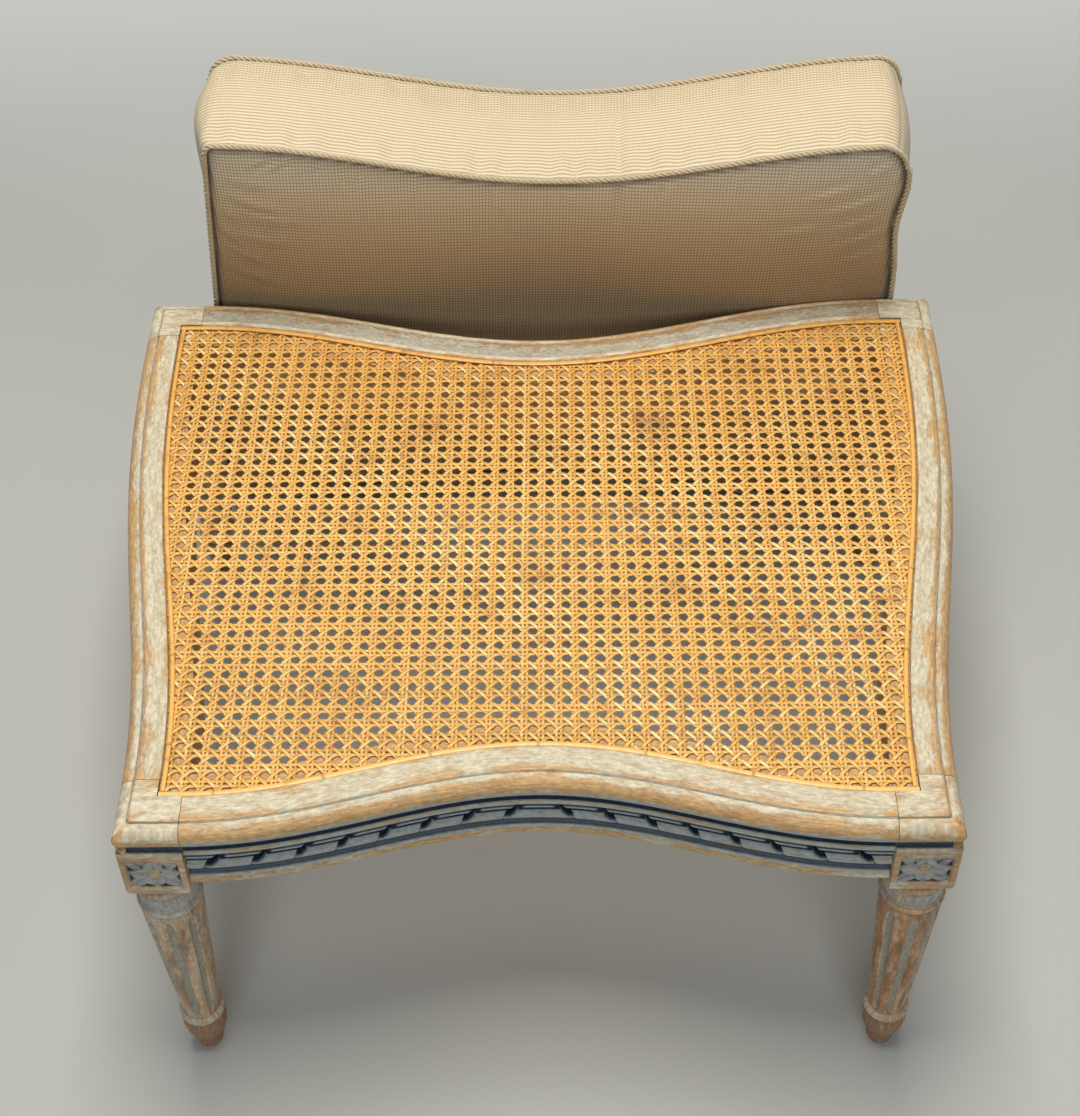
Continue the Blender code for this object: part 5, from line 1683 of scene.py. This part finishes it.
def filled_cover(obj, sizes, lines):
    """Swells the flat cover and gives its finer mesh back."""
    mesh = remeshed(obj, sizes.voxel)
    flat = read_values(mesh.vertices, "co", 3)
    away, _ = near_seams(sizes, lines, flat)
    move = simulate_filling(obj, sizes, ease(0.016, 0.008, away)) - flat
    far = np.linalg.norm(move, axis=1)
    flat = flat + move * (np.minimum(far, sizes.swell_cap) / np.maximum(far, TINY))[:, None]
    write_points(mesh, flat)
    subdivide = obj.modifiers.new("Finer", "SUBSURF")
    subdivide.levels = subdivide.render_levels = 1
    return keep_result(obj)


def make_cover(sizes):
    """The padded cover, simulated flat, then creased at its seams and stood up."""
    lines = {front: seam_line(sizes, front) for front in (True, False)}
    obj = mesh_object("cushion_cover", *flat_cushion(sizes))
    mesh = filled_cover(obj, sizes, lines)
    flat = read_values(mesh.vertices, "co", 3)
    normals = read_values(mesh.vertices, "normal", 3)
    near, along = near_seams(sizes, lines, flat)
    panel = np.abs(normals[:, 2]) > 0.75
    fold = ease(0.0088, 0.0046, near) * np.where(panel, PANEL_FOLD, BOXING_FOLD)
    flat = flat + normals * (wrinkles(sizes, flat) * ease(0.003, 0.010, near) - fold)[:, None]
    flat = drawn_to_seams(sizes, lines, flat)
    total = length_round(lines[True])
    boxed = (np.abs(normals[:, 2]) < 0.6) & (near > 0.004)
    stitched = np.abs((along - join_place(sizes, lines[True]) + total / 2) % total - total / 2)
    flat = flat - normals * (STITCH_DEPTH * np.exp(-((stitched / STITCH_WIDTH) ** 2)) * boxed)[:, None]
    across, up, depth = flat.T
    flank = ease(0.82, 0.90, np.abs(across) / (sizes.narrow / 2))
    flank = flank * ease(sizes.height, sizes.height - 0.05, up)
    # Painted shade where the cloth sinks under the cords, wider on the flanks, and along the boxing's join.
    painted_seam_shade = np.clip(ease(0.0080 + 0.0004 * flank, 0.0050, near) * np.where(panel, 1.0, 0.35), 0, 1)
    painted_seam_shade = np.maximum(painted_seam_shade, 0.45 * np.exp(-((stitched / STITCH_WIDTH * 2) ** 2)) * boxed)
    add_attribute(mesh, "painted_seam_shade", painted_seam_shade)
    seam = seam_depth(sizes, True)
    # Painted shade low on the front panel, down by the seat, and painted skylight near its upper edge; the
    # rest of the cover gets none.
    grime_and_painted_light = ease(0.49, 0.35, up) - 0.9 * ease(0.44, 0.51, up)
    add_attribute(mesh, "grime_and_painted_light", grime_and_painted_light * ease(seam - 0.010, seam, depth))
    mark_cloth(mesh, flat, along, total)
    placed = stand(sizes, flat) + cushion_place(sizes)
    z = placed[:, 2]
    placed[:, 2] = np.where(z < 0.004, FLOOR_CLEAR + 0.2 * np.maximum(z, 0.0), z)
    write_points(mesh, placed)
    mesh.shade_smooth()
    return obj


class STOOL_OT_cushion(bpy.types.Operator):
    """Makes the padded cushion cover"""

    bl_idname = "stool.cushion"
    bl_label = "Cushion"

    def execute(self, context):
        cover = make_cover(context.scene.cushion_sizes)
        cover.data.materials.clear()
        cover.data.materials.append(finish_material("check_cloth", check_cloth))
        nodes = ("cushion_front_panel", "cushion_back_panel", "cushion_boxing", "cushion_filling")
        finish_piece(cover, "cushion", "check_cloth", *nodes)
        return {"FINISHED"}


class STOOL_OT_pipings(bpy.types.Operator):
    """Winds the twisted cords along the cushion's seams"""

    bl_idname = "stool.pipings"
    bl_label = "Pipings"

    def execute(self, context):
        sizes = context.scene.cushion_sizes
        tree = cord_tree()
        material = finish_material("twisted_piping", twisted_cord)
        where = cushion_place(sizes)
        for node, front in (("cushion_front_piping", True), ("cushion_back_piping", False)):
            line = seam_line(sizes, front, 2)
            flat = at_depth(line + outward(line) * CORD_OUT, seam_depth(sizes, front))
            path = stand(sizes, flat) + where
            path[:, 2] = np.maximum(path[:, 2], sizes.piping * 0.75)
            turns = round(length_round(path) / sizes.twist)
            cord = line_object("twisted_" + node, [path], {}, cyclic=True)
            values = {
                "Points": turns * CORD_POINTS,
                "Turns": float(turns),
                "Winding Radius": sizes.piping * 0.40,
                "Strand Radius": sizes.piping * 0.345,
                "Material": material,
            }
            grow(cord, tree, values)
            finish_piece(cord, "cushion", "twisted_piping", node)
        return {"FINISHED"}


# Stage

PHOTO_SIZE = (1080, 1116)
FOCAL_PIXELS = 1938.2
CAMERA_PLACE = (0.0213, -1.1644, 1.4558)
CAMERA_DOWN = math.radians(47.213)
CAMERA_YAW = math.radians(1.118)
CAMERA_ROLL = math.radians(1.309)
FLOOR_FRONT, FLOOR_BACK, FLOOR_BEND = -6.0, 2.6, 1.2
FLOOR_HALF, FLOOR_TOP = 7.0, 6.0
SKY = (0.84, 0.94, 1.0, 1.0)
# For each lamp: place, aim, size, power, tint
LAMPS = {
    "top_lamp": ((-0.05, 0.0, 2.9), (0.0, 0.0, 0.3), (1.5, 1.1), 70.0, (1.0, 0.975, 0.92)),
    "front_lamp": ((0.1, -3.2, 2.2), (0.0, 0.0, 0.2), (2.4, 0.9), 37.0, (0.84, 0.93, 1.0)),
}


def make_lamp(name, where, aim, size, power, tint):
    data = bpy.data.lights.new(name, "AREA")
    data.shape = "RECTANGLE"
    data.size, data.size_y = size
    data.energy = power
    data.color = tint
    lamp = new_object(name, data)
    lamp.location = where
    lamp.rotation_euler = (Vector(aim) - Vector(where)).to_track_quat("-Z", "Y").to_euler()


def make_camera():
    data = bpy.data.cameras.new("camera")
    data.sensor_fit = "VERTICAL"
    data.sensor_height = 36.0
    data.lens = FOCAL_PIXELS * data.sensor_height / PHOTO_SIZE[1]
    data.clip_end = 50.0
    turn = Matrix.Rotation(CAMERA_YAW, 3, "Z")
    ahead = turn @ Vector((0.0, math.cos(CAMERA_DOWN), -math.sin(CAMERA_DOWN)))
    below = turn @ Vector((0.0, -math.sin(CAMERA_DOWN), -math.cos(CAMERA_DOWN)))
    right = turn @ Vector((1.0, 0.0, 0.0))
    across = math.cos(CAMERA_ROLL) * right + math.sin(CAMERA_ROLL) * below
    down = -math.sin(CAMERA_ROLL) * right + math.cos(CAMERA_ROLL) * below
    axes = Matrix((across, -down, -ahead)).transposed().to_4x4()
    camera = new_object("camera", data)
    camera.matrix_world = Matrix.Translation(CAMERA_PLACE) @ axes
    bpy.context.scene.camera = camera


def make_world():
    """A dim sky that looks pale where it is seen directly."""
    world = bpy.data.worlds.new("soft_room")
    world.use_nodes = True
    tree = world.node_tree
    sky = tree.nodes["Background"]
    sky.inputs["Color"].default_value = SKY
    sky.inputs["Strength"].default_value = 0.07
    pale = put(tree, "ShaderNodeBackground", {"Color": PALE, "Strength": 0.72})
    both = put(tree, "ShaderNodeMixShader", {0: seen_directly(tree), 1: sky.outputs[0], 2: pale})
    tree.links.new(both, tree.nodes["World Output"].inputs["Surface"])
    return world


def make_floor():
    """A plain floor that bends up behind the object."""
    profile = [(FLOOR_FRONT, 0.0), (FLOOR_BACK, 0.0)]
    for angle in arc(14, 6, 90):
        profile.append((FLOOR_BACK + FLOOR_BEND * math.sin(angle), FLOOR_BEND * (1 - math.cos(angle))))
    profile.append((FLOOR_BACK + FLOOR_BEND, FLOOR_TOP))
    points = [(x, y, z) for y, z in profile for x in (-FLOOR_HALF, FLOOR_HALF)]
    floor = mesh_object("floor", points, grid_faces(len(profile), 2, False))
    floor.data.materials.append(finish_material("plain_floor", plain_floor))
    if floor.data.polygons[0].normal.z < 0:
        floor.data.flip_normals()
    return floor


class STOOL_OT_stage(bpy.types.Operator):
    """Sets the pale floor, the soft lamps and the camera"""

    bl_idname = "stool.stage"
    bl_label = "Stage"

    def execute(self, context):
        make_camera()
        floor = make_floor()
        for name, options in LAMPS.items():
            make_lamp(name, *options)
        context.scene.world = make_world()
        context.scene.view_settings.view_transform = "Standard"
        return {"FINISHED"}


class STOOL_PT_panel(bpy.types.Panel):
    """Lists the stool's pieces and sizes"""

    bl_idname = "STOOL_PT_panel"
    bl_label = "Caned Stool"
    bl_space_type = "VIEW_3D"
    bl_region_type = "UI"
    bl_category = "Stool"

    def draw(self, context):
        for operator in OPERATORS:
            self.layout.operator(operator.bl_idname)
        for key in GROUPS:
            group = getattr(context.scene, key)
            box = self.layout.box()
            for name in group.__annotations__:
                box.prop(group, name)


GROUPS = {
    "stool_sizes": StoolSizes,
    "seat_sizes": SeatSizes,
    "cushion_sizes": CushionSizes,
    "stool_finishes": Finishes,
}
OPERATORS = (
    STOOL_OT_stage,
    STOOL_OT_rails,
    STOOL_OT_legs,
    STOOL_OT_cane,
    STOOL_OT_binders,
    STOOL_OT_cushion,
    STOOL_OT_pipings,
)


def register():
    for key, group in GROUPS.items():
        bpy.utils.register_class(group)
        setattr(bpy.types.Scene, key, PointerProperty(type=group))
    for operator in OPERATORS:
        bpy.utils.register_class(operator)
    bpy.utils.register_class(STOOL_PT_panel)


def unregister():
    bpy.utils.unregister_class(STOOL_PT_panel)
    for operator in reversed(OPERATORS):
        bpy.utils.unregister_class(operator)
    for key, group in reversed(GROUPS.items()):
        delattr(bpy.types.Scene, key)
        bpy.utils.unregister_class(group)


def main():
    register()
    bpy.ops.stool.stage()
    bpy.ops.stool.rails()
    bpy.ops.stool.legs()
    bpy.ops.stool.cane()
    bpy.ops.stool.binders()
    bpy.ops.stool.cushion()
    bpy.ops.stool.pipings()
    bpy.context.view_layer.update()


if __name__ == "__main__":
    main()
